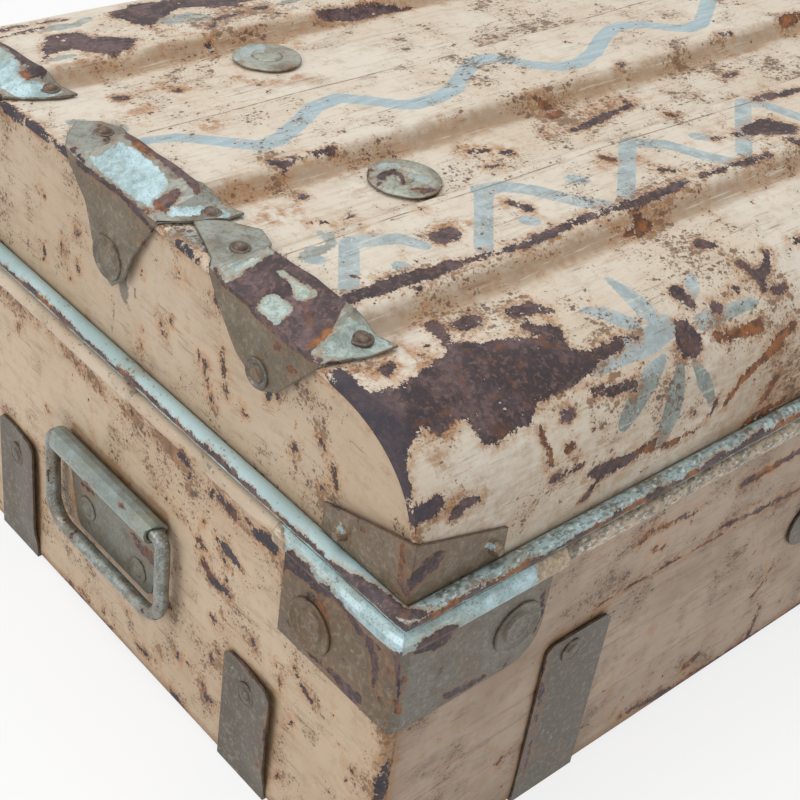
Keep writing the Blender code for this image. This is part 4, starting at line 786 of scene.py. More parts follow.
# Marks on the lid
LID_RUST = [
    ((8, 9, 10, 9, 7), [(350, 298), (378, 289), (400, 281), (426, 273), (451, 264)]),
    ((4, 4, 5, 5, 6, 5, 5, 4, 3, 3), [(451, 264), (477, 257), (512, 246), (528, 242), (563, 226),
                                      (594, 214), (630, 204), (668, 190), (694, 178), (750, 161)]),
    (2, [(750, 161), (770, 154)]), ((12, 18, 14), [(752, 130), (768, 126), (786, 128)]),
    (4, [(714, 138), (724, 137)]), (5, [(730, 134), (742, 134)]), (6, [(790, 140), (800, 142)]),
    ((6, 7, 6), [(756, 98), (778, 94), (800, 88)]), (9, [(440, 237), (455, 232)]),
    (5, [(512, 202), (530, 208)]), (4, [(660, 170), (680, 172)]),
    ((3, 5, 3), [(573, 130), (600, 118), (630, 105)]), (5, [(470, 153), (486, 151)]),
    (4, [(500, 153), (512, 151)]), (3.5, [(488, 167), (500, 165)]), (4, [(724, 76), (736, 73)]),
    (7, [(700, 244), (712, 245)]), (4, [(619, 62), (622, 63)]), (4, [(720, 34), (731, 32)]),
    (7, [(460, 324), (476, 320)]), ((8, 9, 6), [(514, 312), (532, 306), (551, 310)]),
    (6, [(526, 325), (530, 323)]), (8, [(538, 329), (556, 331)]), (6, [(432, 324), (445, 336)]),
    (5, [(739, 263), (757, 275), (765, 288)]), (5, [(768, 253), (765, 270), (757, 275)]),
    ((13, 17), [(684, 330), (690, 342)]), (8, [(676, 291), (689, 303)]), (6, [(714, 306), (719, 307)]),
    (4, [(716, 402), (711, 414)]), (3, [(700, 300), (706, 304)]), (4, [(792, 242), (800, 240)]),
    ((7, 10, 5), [(592, 472), (622, 462), (652, 444)]), (3, [(598, 480), (583, 499)]),
    ((2, 3, 2), [(650, 451), (675, 442), (698, 428)]), (3, [(551, 481), (583, 463)]),
    (4, [(550, 455), (551, 463)]), (5, [(565, 416), (571, 414)]), (3, [(693, 412), (696, 414)]),
    (9, [(418, 516), (438, 503)]), ((4, 8, 5), [(453, 516), (468, 503), (478, 499)]),
    ((3, 5, 3, 4), [(271, 162), (283, 164), (300, 156), (333, 149)]), (4, [(311, 223), (327, 221)]),
    (3, [(344, 218), (351, 216)]), (3, [(303, 197), (308, 195)]),
    (4, [(402, 500), (405, 528), (408, 545)]), (3, [(404, 470), (409, 500)]), (4, [(205, 44), (210, 47)]),
    (2.5, [(117, 98), (128, 97)]), (2, [(173, 91), (180, 89)]),
    ((10, 11, 9, 7), [(340, 376), (370, 412), (392, 458), (404, 502)]), (4, [(276, 13), (288, 12)]),
    ((3, 5, 3), [(0, 38), (20, 32), (44, 27)]), ((2, 2, 2), [(0, 30), (60, 20), (110, 12)]),
    (5, [(206, 6), (240, 4)]), (4, [(256, 8), (266, 6)]), (3, [(187, 34), (192, 33)]),
    (2.5, [(208, 28), (216, 24)]), (2, [(162, 30), (168, 28)]),
    ((2, 4, 3), [(26, 118), (38, 128), (48, 136)]), ((3, 5, 4), [(172, 240), (184, 248), (194, 258)]),
    (4, [(346, 300), (356, 296)]), (3, [(414, 290), (420, 286)]), (4, [(420, 205), (424, 210)]),
    ((3, 5, 4), [(590, 392), (612, 389), (636, 384)]), (4, [(732, 290), (738, 288)]),
    (4, [(776, 290), (786, 286)]), (3, [(470, 345), (480, 350)]), (4, [(450, 350), (456, 360)]),
    (5, [(384, 372), (392, 366)]),
]
LID_WARM = [
    ((4, 7, 8, 6), [(795, 324), (772, 352), (744, 378), (727, 402)]), (5, [(777, 378), (762, 400)]),
    ((5, 8, 5), [(782, 402), (762, 414), (745, 424)]), ((3, 6, 8), [(720, 340), (736, 334), (760, 326)]),
    (4, [(716, 336), (722, 338)]), (5, [(566, 452), (572, 446)]), ((3, 4), [(540, 428), (552, 460)]),
    ((4, 5, 3), [(636, 452), (662, 446), (696, 430)]), (5, [(636, 222), (648, 226)]),
    (4, [(626, 232), (640, 236)]), (4, [(548, 116), (560, 112)]), (5, [(668, 114), (676, 116)]),
    (6, [(782, 22), (800, 16)]), (3, [(604, 158), (612, 160)]), (5, [(404, 500), (410, 540)]),
    (4, [(536, 100), (546, 104)]),
]
LID_PATCHES = [
    [(333, 373), (350, 382), (373, 391), (395, 386), (413, 377), (433, 363), (446, 350), (434, 336),
     (424, 324), (440, 323), (452, 342), (484, 341), (500, 336), (563, 338), (573, 350), (596, 348),
     (620, 335), (640, 337), (618, 352), (600, 362), (590, 376), (566, 390), (548, 398), (534, 402),
     (534, 424), (512, 434), (490, 446), (478, 440), (470, 420), (452, 418), (440, 436), (424, 424),
     (412, 446), (404, 470), (396, 452), (380, 425), (360, 395)],
    [(41, 59), (46, 36), (77, 31), (94, 38), (110, 36), (138, 38), (133, 46), (112, 56), (84, 51),
     (74, 48), (51, 54), (41, 64)],
    [(110, 15), (128, 5), (163, 0), (200, -8), (262, -3), (230, 5), (179, 8), (158, 20), (153, 27),
     (133, 23)], [(-8, 17), (20, 12), (48, 9), (46, 19), (20, 25), (-6, 31)],
]
LID_BLUE = [
    ((7, 9, 10), [(143, 140), (179, 137), (225, 141)]),
    (10.5, [(225, 141), (260, 145), (278, 139), (296, 125), (314, 107), (339, 98), (370, 101), (400, 105),
            (415, 105), (438, 98), (455, 88), (463, 74), (474, 61), (489, 57), (510, 59), (533, 64),
            (558, 66), (579, 62), (594, 52), (602, 38), (612, 28), (625, 24), (645, 24), (668, 27),
            (688, 28), (701, 23), (706, 10), (710, -4)]), (10, [(349, 244), (349, 290)]),
    (10, [(484, 190), (484, 247)]), (10, [(627, 144), (626, 201)]), (10, [(743, 103), (744, 153)]),
    ((10, 9, 7), [(352, 241), (400, 238), (425, 245)]),
    (10, [(479, 190), (502, 186), (533, 190), (579, 201), (610, 206)]),
    (10, [(630, 142), (668, 145), (701, 155), (734, 163)]),
    (10, [(746, 102), (762, 103), (800, 117), (820, 124)]), (8, [(311, 259), (318, 259)]),
    (8, [(399, 266), (404, 266)]), (9, [(572, 179), (582, 180)]), (8, [(526, 219), (534, 220)]),
    (8, [(695, 136), (707, 137)]), ((3, 9, 12, 7), [(605, 277), (625, 291), (643, 307), (657, 322)]),
    ((4, 9, 8), [(582, 309), (606, 313), (634, 325)]), ((2, 9, 3), [(691, 272), (692, 286), (693, 300)]),
    ((5, 13, 13), [(596, 372), (622, 352), (648, 342)]), (13, [(648, 342), (668, 326)]),
    ((5, 11, 13, 10), [(664, 358), (652, 376), (638, 398), (625, 422)]),
    ((6, 13, 15, 11), [(681, 366), (676, 394), (670, 416), (661, 440)]),
    ((4, 10, 6), [(694, 362), (704, 380), (712, 400)]), ((10, 6), [(702, 322), (752, 302)]),
]
HAIR_A = [
    (143, 133), (204, 117), (281, 97), (332, 84), (400, 66), (489, 46), (558, 25), (650, 0), (700, -14),
]
HAIR_B = [
    (262, 262), (310, 246), (400, 214), (440, 201), (512, 179), (617, 143), (732, 107), (800, 87),
]
LID_SMEAR = [
    (9, [(75, 122), (100, 128), (122, 128)]), (12, [(180, 236), (215, 246), (250, 252)]),
    (5, [(322, 232), (330, 240)]), (8, [(212, 208), (236, 216)]),
]
LID_PALE = [
    ((4, 10, 9, 5), [(40, 31), (56, 27), (76, 24), (88, 18)]),
    ((5, 12, 14, 8), [(150, 22), (166, 20), (190, 16), (210, 18)]),
    ((3, 6, 5), [(40, 62), (56, 58), (72, 54)]), ((4, 6, 3), [(716, 318), (738, 310), (760, 302)]),
    ((3, 8, 7, 3), [(300, 258), (312, 252), (324, 248), (334, 244)]),
    ((3, 7, 4), [(276, 4), (292, 0), (310, -4)]),
]
ORANGE_SPOTS = [
    (10, [(262, 214), (300, 214)]), (6, [(306, 222), (332, 218)]), (6, [(236, 196), (262, 192)]),
    (8, [(205, 126), (214, 124)]), (5, [(62, 70), (100, 60)]), (7, [(402, 362), (430, 356)]),
    (5, [(380, 352), (404, 344)]), (5, [(160, 52), (200, 46)]), (4, [(126, 112), (150, 108)]),
    (5, [(420, 196), (460, 190)]), (6, [(460, 150), (512, 148)]), (5, [(600, 166), (640, 160)]),
    (4, [(500, 200), (540, 212)]), (5, [(612, 232), (660, 218)]), (5, [(700, 136), (740, 132)]),
    (6, [(420, 440), (440, 460)]), (6, [(436, 510), (480, 500)]), (5, [(580, 110), (640, 96)]),
    (4, [(722, 54), (760, 46)]), (6, [(440, 228), (470, 222)]), (9, [(203, 47), (212, 45)]),
    (8, [(262, 218), (296, 216)]), (6, [(228, 45), (262, 38)]), (6, [(146, 88), (158, 86)]),
    (6, [(172, 91), (182, 88)]), (5, [(120, 98), (126, 96)]), (5, [(232, 42), (262, 36), (300, 44)]),
    (4, [(236, 76), (268, 84), (300, 76)]), (7, [(372, 230), (388, 236)]), (7, [(536, 100), (548, 104)]),
    (5, [(662, 112), (672, 116)]), (9, [(362, 374), (402, 366), (432, 350)]),
    (8, [(436, 410), (446, 425)]), (6, [(545, 133), (552, 130)]),
]


def extended(distance_strokes, period, reach_x, low_x, copies):
    """Strokes in surface places, repeated towards the right end."""
    out = []
    for k in range(1, copies + 1):
        for width, line in distance_strokes:
            out.append((width, [(x + period * k, s) for x, s in line]))
    return [item for item in out if low_x < item[1][0][0] < reach_x]


def wandering(count, x_range, s_range, length, width, seed):
    """Random worn strokes that run mostly along the trunk."""
    local = np.random.default_rng(seed)
    out = []
    for _ in range(count):
        x = local.uniform(*x_range)
        s = local.uniform(*s_range)
        run = local.uniform(*length)
        w = local.uniform(*width)
        line = [(x, s)]
        for _ in range(3):
            x += run / 3
            s += local.normal() * run * 0.06
            line.append((x, s))
        out.append(((w * 0.6, w, w * 0.8, w * 0.4), line))
    return out


def s_of(y):
    return float(np.interp(y, LINE[:, 0], LINE_S, left=0.0))


rust_strokes = placed(LID_RUST, on_lid)
crest_s = [(s_of(low), s_of(high)) for low, high in BATTENS]
LID_WEAR = (
    (9, (0.42, 0.74), (crest_s[0][0] - 0.002, crest_s[0][0] + 0.003), (0.03, 0.09), (3, 7)),
    (7, (0.40, 0.74), (0.05, 0.095), (0.015, 0.06), (4, 11)),
    (8, (0.46, 0.75), (crest_s[1][0] - 0.004, crest_s[1][1]), (0.01, 0.04), (2, 6)),
    (16, (0.12, 0.74), (crest_s[2][0] - 0.006, crest_s[2][1] + 0.02), (0.02, 0.07), (3, 9)),
    (12, (0.02, 0.74), (LINE_S[-1] - 0.10, LINE_S[-1] - 0.02), (0.015, 0.06), (2, 7)),
    (6, (0.30, 0.74), (0.012, 0.035), (0.02, 0.06), (2, 6)),
)
for seed, row in enumerate(LID_WEAR, 11):
    rust_strokes += wandering(*row, seed)
blue_strokes = placed(LID_BLUE, on_lid)
zigzag = blue_strokes[3:5] + blue_strokes[7:9] + blue_strokes[12:14]
blue_strokes += extended(zigzag, 0.2137, LENGTH - 0.03, 0.40, 3)
wave = []
for k in range(12):
    x = 0.486 + 0.0455 * k / 2
    wave.append((x, s_of(0.2455 + 0.012 * math.cos(math.pi * k))))
blue_strokes.append((10.5, wave[:11]))
STAR_TURN = 0.83
star = [(w, [(STAR_TURN - x, s) for x, s in line]) for w, line in placed(LID_BLUE[-8:], on_lid)]
blue_strokes += star


# Lid shell

# Places along the trunk, closer together where the photograph looks
XS = np.concatenate([np.arange(0.0, 0.43, 0.0028), np.linspace(0.43, LENGTH, 76)])


def lid_shell():
    """The lid's skin with its battens, folded round the end panels."""
    normals = line_normals(LINE)
    inner = LINE - normals * FOLD_WIDTH
    soft = LINE - normals * FOLD_SOFT
    x = XS[None, :]
    roofed = (LINE[:, 1] > BATTEN_FLOOR)[:, None]
    body = np.empty((len(LINE), len(XS), 3))
    body[..., 0] = x
    body[..., 1] = LINE[:, :1]
    body[..., 2] = LINE[:, 1:] + BATTEN_RISE * batten(LINE[:, 0])[:, None] * roofed * taper(x)
    inland = smoothstep(np.minimum(x, LENGTH - x) / 0.06) * smoothstep((LINE[:, 1:] - 0.222) / 0.02)
    dent = 0.00045 * wobble(body, 0.13, 21) + 0.00022 * wobble(body, 0.05, 22) - 0.0003
    dent = np.minimum(dent * inland, 0.0004)
    body[..., 1] += normals[:, :1] * dent
    body[..., 2] += normals[:, 1:] * dent
    left = [np.concatenate([np.full((len(LINE), 1), -FOLD_PROUD), pts], 1) for pts in (inner, soft)]
    left.append(np.concatenate([np.full((len(LINE), 1), -FOLD_PROUD + FOLD_SOFT), LINE], 1))
    right = [p.copy() for p in reversed(left)]
    for p in right:
        p[:, 0] = LENGTH - p[:, 0]
    points = np.concatenate([np.stack(left, 1), body[:, 1:-1], np.stack(right, 1)], 1)
    solid = points.reshape(-1, 3)
    x, y, z = solid.T
    s = np.repeat(LINE_S, points.shape[1])
    flat = np.stack([x, s], 1)
    warm = stroke_distance(flat, placed(LID_WARM, on_lid))
    patches = [[on_lid(p) for p in line] for line in LID_PATCHES]
    rim_wear = np.minimum(x, LENGTH - x) / MM + 2.0 + 2.4 * wobble(np.stack([s, x, s * 0], 1), 0.05, 31)
    rust = least(stroke_distance(flat, rust_strokes), patch_distance(flat, patches),
                 np.clip(rim_wear, -2, FAR), warm, s / MM + 2.0)
    # Darker over the lid's front wall and front round, growing to the right, and at the skirt's foot
    wall = smoothstep((0.11 - s) / 0.08) * (0.5 + 0.42 * smoothstep((x - 0.14) / 0.2))
    grime_and_shade = most(0.8 * smoothstep((0.016 - s) / 0.012), wall + 0.12 * wobble(solid, 0.09, 37))
    # Darker along the battens' feet, most below their front steps: dirt and painted shade of the steps
    for low, high in BATTENS:
        for mid, weight in ((low - BATTEN_SLOPE * 0.75, 1.0), (high + BATTEN_SLOPE * 0.75, 0.6)):
            grime_and_shade = most(grime_and_shade, weight * bell(y - mid, 0.0075) * taper(x))
    crest = bell(y - BATTENS[0][0] - 0.006, 0.014) * (z > 0.29)
    speck = most(0.5 + 0.5 * wobble(solid, 0.11, 33), 1.3 * bell(x - 0.30, 0.07) * bell(s - 0.085, 0.014),
                 0.9 * crest)
    spots = fade(stroke_distance(flat, placed(ORANGE_SPOTS, on_lid)), 3.0)
    attributes = {
        "rust": marks(rust), "blue": marks(stroke_distance(flat, blue_strokes)), "warm": warmth(warm),
        "smear": marks(stroke_distance(flat, placed(LID_SMEAR + LID_PALE, on_lid))),
        "grime_and_shade": np.clip(grime_and_shade + 0.3 * spots, 0, 1),
        "stain": most(spots, 0.55 * np.clip(grime_and_shade - 0.2, 0, 1)),
        "speck": np.clip(speck, 0, 1.5),
    }
    for key, pixels in (("crease_line_a", HAIR_A), ("crease_line_b", HAIR_B)):
        trace = np.array(sorted(on_lid(p) for p in pixels))
        away = (s - np.interp(x, trace[:, 0], trace[:, 1])) / MM
        attributes[key] = marks(-np.where(x < trace[0, 0], FAR, away))
    painted_sheet("lid_shell", points, attributes, False, LID_PAINT, "lid", "lid_skin", 50)


lid_shell()


# Lid end panels
LID_END_RUST = [
    (1.6, [(160, 330), (163, 334)]), (1.6, [(120, 196), (124, 199)]), (1.5, [(236, 396), (238, 404)]),
    (1.5, [(40, 190), (42, 196)]), (2, [(240, 410), (243, 416)]), (1.4, [(100, 222), (102, 226)]),
]
LID_END_WARM = [
    ((1.2, 3.2, 2.6, 1.4), [(220, 346), (222, 362), (222, 382), (225, 398)]),
    (2.4, [(204, 362), (206, 384)]), (2, [(176, 270), (178, 280)]), (2.4, [(215, 294), (217, 312)]),
    (2, [(158, 326), (162, 334)]), (3, [(330, 462), (334, 488)]), ((3, 2), [(248, 366), (256, 380)]),
    (1.8, [(318, 440), (322, 452)]),
]
LID_END_SMEAR = [
    ((15, 12, 8), [(112, 232), (118, 280), (122, 300)]),
    ((4, 3, 2), [(109, 296), (110, 318), (111, 334)]), ((4, 3), [(124, 296), (126, 312)]),
    ((3, 2), [(131, 290), (132, 306)]),
]


def lid_end(side, right):
    """A flat end panel, dented a little, inside the folded rim."""
    inner = LINE - line_normals(LINE) * (SHEET + GAP)
    ys = np.concatenate([[inner[:, 0].min()], np.linspace(0.002, 0.06, 24), np.linspace(0.063, 0.42, 120),
                         np.linspace(0.423, 0.454, 14), [inner[:, 0].max()]])
    order = np.argsort(inner[:, 0])
    upper = np.interp(ys, inner[order, 0], inner[order, 1])
    upper[0] = FRONT_WALL_TOP
    upper[-1] = REAR_WALL_TOP
    share = np.linspace(0, 1, 34)[:, None]
    points = np.zeros((len(share), len(ys), 3))
    points[..., 1] = ys
    points[..., 2] = LID_FOOT + share * (upper - LID_FOOT)
    mask = smoothstep(np.minimum(points[..., 2] - LID_FOOT, upper - points[..., 2]) / 0.03)
    points[..., 0] = GAP + mask * (0.0010 + 0.0008 * wobble(points, 0.12, 41 + right))
    flat = points[..., 1:].reshape(-1, 2)
    solid = points.reshape(-1, 3)
    along, up = flat.T
    local = np.random.default_rng(50 + right)
    strokes = [(local.uniform(1, 2.6), [(y, z), (y + local.normal() * 0.002, z + local.normal() * 0.006)])
               for y, z in zip(local.uniform(0.06, 0.44, 20), local.uniform(0.215, 0.28, 20))]
    if not right:
        strokes += placed(LID_END_RUST, on_end)
    rim = (upper - points[..., 2]).reshape(-1)
    warm = stroke_distance(flat, placed(LID_END_WARM, on_end))
    rust = least(stroke_distance(flat, strokes), warm,
                 (rim - FOLD_WIDTH) / MM + 1.0 + 1.3 * wobble(solid, 0.03, 46))
    # Darker under the folded rim, at the foot, and in front of each batten near the rim
    grime_and_shade = most(0.75 * np.exp(-rim / 0.006), 0.8 * np.exp(-(up - LID_FOOT) / 0.008))
    for low, _ in BATTENS:
        grime_and_shade = most(grime_and_shade, 0.8 * bell(along - low + 0.008, 0.006) * np.exp(-rim / 0.03))
    attributes = {
        "rust": marks(rust), "warm": warmth(warm),
        "smear": marks(stroke_distance(flat, placed(LID_END_SMEAR, on_end))),
        "grime_and_shade": np.clip(grime_and_shade, 0, 1), "drip": np.ones(len(flat)),
        "stain": 0.8 * np.exp(-rim / 0.005),
        "speck": 0.5 + 0.4 * wobble(solid, 0.08, 44),
    }
    if right:
        points[..., 0] = LENGTH - points[..., 0]
    painted_sheet("lid_end_sheet_" + side, points, attributes, not right, LID_END_PAINT, "lid",
                  "lid_end_" + side, 60)


for side, right in SIDES:
    lid_end(side, right)

# Base walls
FRONT_RUST = [
    ((3, 5, 3), [(720, 526), (760, 507), (800, 487)]), (3, [(653, 573), (678, 558)]),
    (3, [(600, 606), (614, 597)]), (1.6, [(690, 552), (720, 534)]), (1.4, [(620, 592), (650, 576)]),
    ((4, 7, 6), [(742, 482), (770, 466), (800, 448)]), ((4, 5, 6), [(658, 530), (676, 521), (696, 511)]),
    (4, [(642, 541), (652, 530)]), (5, [(652, 551), (662, 547)]),
    (2, [(772, 566), (762, 584), (752, 598)]), ((3, 4, 3), [(760, 608), (752, 628), (742, 644)]),
    (4, [(684, 668), (700, 655)]), ((3, 4, 4, 3), [(620, 716), (670, 689), (720, 657), (800, 604)]),
    (2, [(612, 716), (618, 708)]), (2.5, [(497, 764), (502, 758)]),
]
END_RUST = [
    (5.5, [(217, 495), (221, 500)]), (7, [(228, 509), (234, 515)]), (4, [(244, 518), (249, 522)]),
    ((8, 10), [(256, 533), (272, 545)]), ((4, 6.5, 4), [(218, 540), (230, 553), (241, 570)]),
    (4, [(203, 562), (206, 568)]), ((3, 5, 3), [(208, 575), (217, 586), (227, 592)]),
    (4.5, [(211, 619), (215, 625)]), (3, [(184, 657), (187, 664)]), (3.5, [(205, 697), (211, 704)]),
    (6, [(183, 458), (187, 463)]), (2, [(189, 467), (190, 468)]), (2.5, [(273, 662), (276, 665)]),
    ((2, 3, 2), [(294, 670), (300, 686), (312, 706)]), (4, [(130, 409), (131, 411)]),
    (2.5, [(286, 730), (290, 722)]), (3, [(344, 766), (350, 770)]), (2, [(160, 430), (162, 432)]),
    (3, [(196, 540), (199, 546)]), ((1.5, 2.5, 1.5), [(198, 530), (202, 544), (208, 556)]),
    (2.5, [(222, 556), (226, 566)]), (2.0, [(215, 648), (218, 652)]),
    ((2, 3, 2), [(160, 492), (166, 500), (182, 520)]),
]
END_FRECKLES = [
    (5, [(0, 296), (27, 313), (63, 350), (103, 393), (160, 434), (185, 466), (232, 514), (270, 548)]),
]
END_ORANGE = [
    (5, [(127, 408), (160, 440), (186, 461)]), (3, [(30, 316), (62, 349), (103, 392)]),
    (4, [(255, 532), (280, 556)]), (5, [(234, 634), (240, 641)]), (4, [(366, 700), (384, 770)]),
]


def wall_rows(proud):
    """Outer line (out, z) of a base wall, finely stepped."""
    corners = [(0.0, WALL_FOOT), (0.0, BAND_FOOT - BAND_PROUD), (proud, BAND_FOOT), (proud, BAND_TOP),
               (0.0, BAND_TOP + BAND_PROUD), (0.0, NECK_FOOT - NECK_IN), (-NECK_IN, NECK_FOOT),
               (-NECK_IN, NECK_TOP)]
    out = [corners[0]]
    for a, b in zip(corners, corners[1:]):
        steps = max(1, int(np.hypot(b[0] - a[0], b[1] - a[1]) / 0.0034))
        for k in range(1, steps + 1):
            out.append((a[0] + (b[0] - a[0]) * k / steps, a[1] + (b[1] - a[1]) * k / steps))
    return np.array(out)


def crease(z, places, width=0.0035, depth=0.0005):
    """Faint pressed lines along a wall."""
    out = 0
    for place in places:
        out = out - depth * bell(z - place, width)
    return out


def hardware_darkening(flat, axis, names):
    """Darkening beside hardware, from the boxes of its nodes."""
    out = np.zeros(len(flat))
    for name in names:
        low, high = (np.array(v)[[axis, 2]] - CORNER[[axis, 2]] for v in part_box(name))
        away = np.maximum(low - flat, flat - high)
        away = np.linalg.norm(np.maximum(away, 0), axis=1)
        out = np.maximum(out, np.exp(-away / 0.0022))
    return out


# Worn strokes of the long walls: count, first x in front, heights, lengths, widths
WALL_WEAR = ((9, 0.33, (0.128, 0.133), (0.02, 0.07), (2, 5)),
             (8, 0.33, (0.003, 0.012), (0.02, 0.08), (3, 6)),
             (9, 0.34, (0.178, 0.192), (0.02, 0.07), (3, 7)),
             (14, 0.36, (0.02, 0.17), (0.004, 0.03), (1.5, 4)))


def long_wall(name, node, front):
    """The front or the back of the base; the front has the band that stands proud."""
    rows = wall_rows(BAND_PROUD if front else 0.0)
    low = SEAM + GAP / 2
    xs = np.concatenate([[low], XS[(XS > low + 0.001) & (XS < LENGTH - low - 0.001)], [LENGTH - low]])
    points = np.zeros((len(rows), len(xs), 3))
    points[..., 0] = xs
    points[..., 2] = rows[:, 1:]
    z = points[..., 2]
    mask = smoothstep((z - 0.004) / 0.02) * smoothstep((0.19 - z) / 0.01)
    mask = mask * smoothstep(np.minimum(xs - low, LENGTH - low - xs) / 0.02)
    bumps = 0.0007 * wobble(points, 0.16, 61 + front) + 0.00025 * wobble(points, 0.06, 63) - 0.0005
    if front:
        bumps = bumps + 0.0012 * bell(xs - 0.36, 0.05) * bell(z - 0.055, 0.022) + crease(z, CREASES)
        bumps = np.where(z > BAND_FOOT - 0.004, np.minimum(bumps, 0.0), bumps)
    out = rows[:, :1] + bumps * mask
    points[..., 1] = -out if front else DEPTH + out
    solid = points.reshape(-1, 3)
    x, _, up = solid.T
    flat = np.stack([x, up], 1)
    strokes = placed(FRONT_RUST, on_front) if front else []
    for k, (count, start, heights, lengths, widths) in enumerate(WALL_WEAR):
        strokes += wandering(count, (start if front else 0.03, 0.72), heights, lengths, widths,
                             71 + 2 * k + front)
    edge = np.minimum(x - low, LENGTH - low - x) / MM
    rust = least(stroke_distance(flat, strokes), np.clip(edge + 0.8 + 2 * wobble(solid, 0.03, 79), -1, FAR))
    # Darkening beside the straps
    dirt = hardware_darkening(flat, 0, ["%s_strap_%s" % ("front" if front else "back", side) for side, _ in SIDES])
    # Darker under the proud band, near the bottom, under the rim, near the seams and beside the straps;
    # along the upper crease it is painted shade
    grime_and_shade = most(0.8 * fade(np.abs(up - BAND_FOOT + 0.003), 0.004), 0.9 * smoothstep((0.014 - up) / 0.012),
                 0.9 * smoothstep((up - 0.180) / 0.008), 0.45 * fade(np.abs(up - CREASES[0]), 0.004),
                 0.7 * np.exp(-edge / 4.0), 0.9 * dirt)
    if front:
        grime_and_shade = most(grime_and_shade, 0.9 * smoothstep((0.016 - x) / 0.008) * (up < 0.14),
                     0.35 * smoothstep((0.12 - x) / 0.04))
    speck = most(0.45 + 0.5 * wobble(solid, 0.09, 81), fade(np.abs(up - 0.185), 0.012))
    shift = 0.0006 * wobble(solid, 0.12, 83)
    attributes = {
        "rust": marks(rust), "grime_and_shade": np.clip(grime_and_shade, 0, 1), "speck": np.clip(speck, 0, 1.4),
        "stain": most(0.8 * dirt, 0.6 * fade(np.abs(up - 0.190), 0.006)),
        # Dark lines along the two pressed creases: painted shade
        "crease_line_a": marks(-(up + shift - 0.0872) / MM), "crease_line_b": marks(-(up - shift - 0.0455) / MM),
        "warm": smoothstep((wobble(solid, 0.05, 84) - 0.1) / 0.4),
    }
    painted_sheet(name, points, attributes, not front, SHADED_FRONT_PAINT, "base", node, 40)


long_wall("front_sheet", "base_front_panel", True)
long_wall("back_sheet", "base_back_panel", False)


def end_stations():
    """Stations (x, y, outward x, outward y) round a left end, with its rounded corners."""
    end_x = SEAM - GAP / 2
    near = []
    for k in range(7):
        t = math.pi / 2 * k / 6
        near.append((BOX_CORNER * (1 - math.cos(t)), BOX_CORNER * (1 - math.sin(t)), -math.cos(t),
                     -math.sin(t)))
    far = [(x, DEPTH - y, nx, -ny) for x, y, nx, ny in reversed(near)]
    middle = [(0.0, y, -1.0, 0.0) for y in np.linspace(DEPTH - 0.006, 0.006, 148)]
    return np.array([(end_x, DEPTH, 0.0, 1.0)] + far + middle + near + [(end_x, 0.0, 0.0, -1.0)])


def end_wall(side, right):
    """An end of the base with its two rounded corners."""
    rows = wall_rows(0.0)
    stations = end_stations()
    shape = (len(rows), len(stations))
    y = stations[:, 1]
    z = np.broadcast_to(rows[:, 1:], shape)
    points = np.stack([np.broadcast_to(stations[:, 0], shape), np.broadcast_to(y, shape), z], -1)
    mask = smoothstep((z - 0.004) / 0.02) * smoothstep((0.19 - z) / 0.01)
    mask = mask * smoothstep(np.minimum(y, DEPTH - y) / 0.03)
    bumps = (0.0006 * wobble(points, 0.14, 91 + right) + 0.0002 * wobble(points, 0.05, 93) - 0.0005) * mask
    points[..., :2] += stations[:, 2:] * (rows[:, :1] + bumps)[..., None]
    flat = points[..., 1:].reshape(-1, 2)
    solid = points.reshape(-1, 3)
    along, up = flat.T
    strokes = [] if right else placed(END_RUST, on_end)
    local = np.random.default_rng(95 + right)
    for _ in range(46):
        yy, zz = local.uniform(0.02, 0.44), local.uniform(0.01, 0.19)
        run = local.uniform(0.001, 0.010)
        width = local.uniform(0.8, 4.5 if right else 2.2)
        strokes.append((width, [(yy, zz), (yy + local.normal() * 0.002, zz - run)]))
    strokes += wandering(8, (0.02, 0.40), (0.002, 0.008), (0.02, 0.07), (1, 3), 97 + right)
    corner = np.minimum(along, DEPTH - along)
    rust = least(stroke_distance(flat, strokes), corner / MM + 1.5 + 3.0 * wobble(solid, 0.035, 99))
    orange = stroke_distance(flat, [] if right else placed(END_ORANGE, on_end))
    band = fade(stroke_distance(flat, placed(END_FRECKLES, on_end)), 3.0)
    # Darkening beside the straps and the handle plate
    dirt = hardware_darkening(flat, 1, ["end_strap_%s_front" % side, "end_strap_%s_back" % side,
                                "handle_plate_" + side])
    corner_dirt = np.exp(-corner / 0.006)
    # Darker near the bottom, under the rim, at the corners, round the orange stains and beside the hardware
    grime_and_shade = most(0.9 * smoothstep((0.012 - up) / 0.010), 0.75 * smoothstep((up - 0.184) / 0.006),
                 0.9 * corner_dirt, 0.4 * fade(orange, 2.5), 0.8 * dirt)
    speck = 0.5 + 0.55 * wobble(solid, 0.07, 96) + 1.5 * band + 0.9 * np.exp(-corner / 0.008)
    attributes = {
        "rust": marks(rust), "grime_and_shade": np.clip(grime_and_shade, 0, 1), "speck": np.clip(speck, 0, 2.2),
        "stain": most(fade(orange, 2.0), 0.8 * band, 0.8 * corner_dirt, 0.7 * dirt),
        "warm": smoothstep((wobble(solid, 0.04, 98) - 0.1) / 0.4),
    }
    if right:
        points[..., 0] = LENGTH - points[..., 0]
    painted_sheet("end_sheet_" + side, points, attributes, right, END_PAINT, "base",
                  "base_end_" + side, 40)


for side, right in SIDES:
    end_wall(side, right)


# Rolled rims

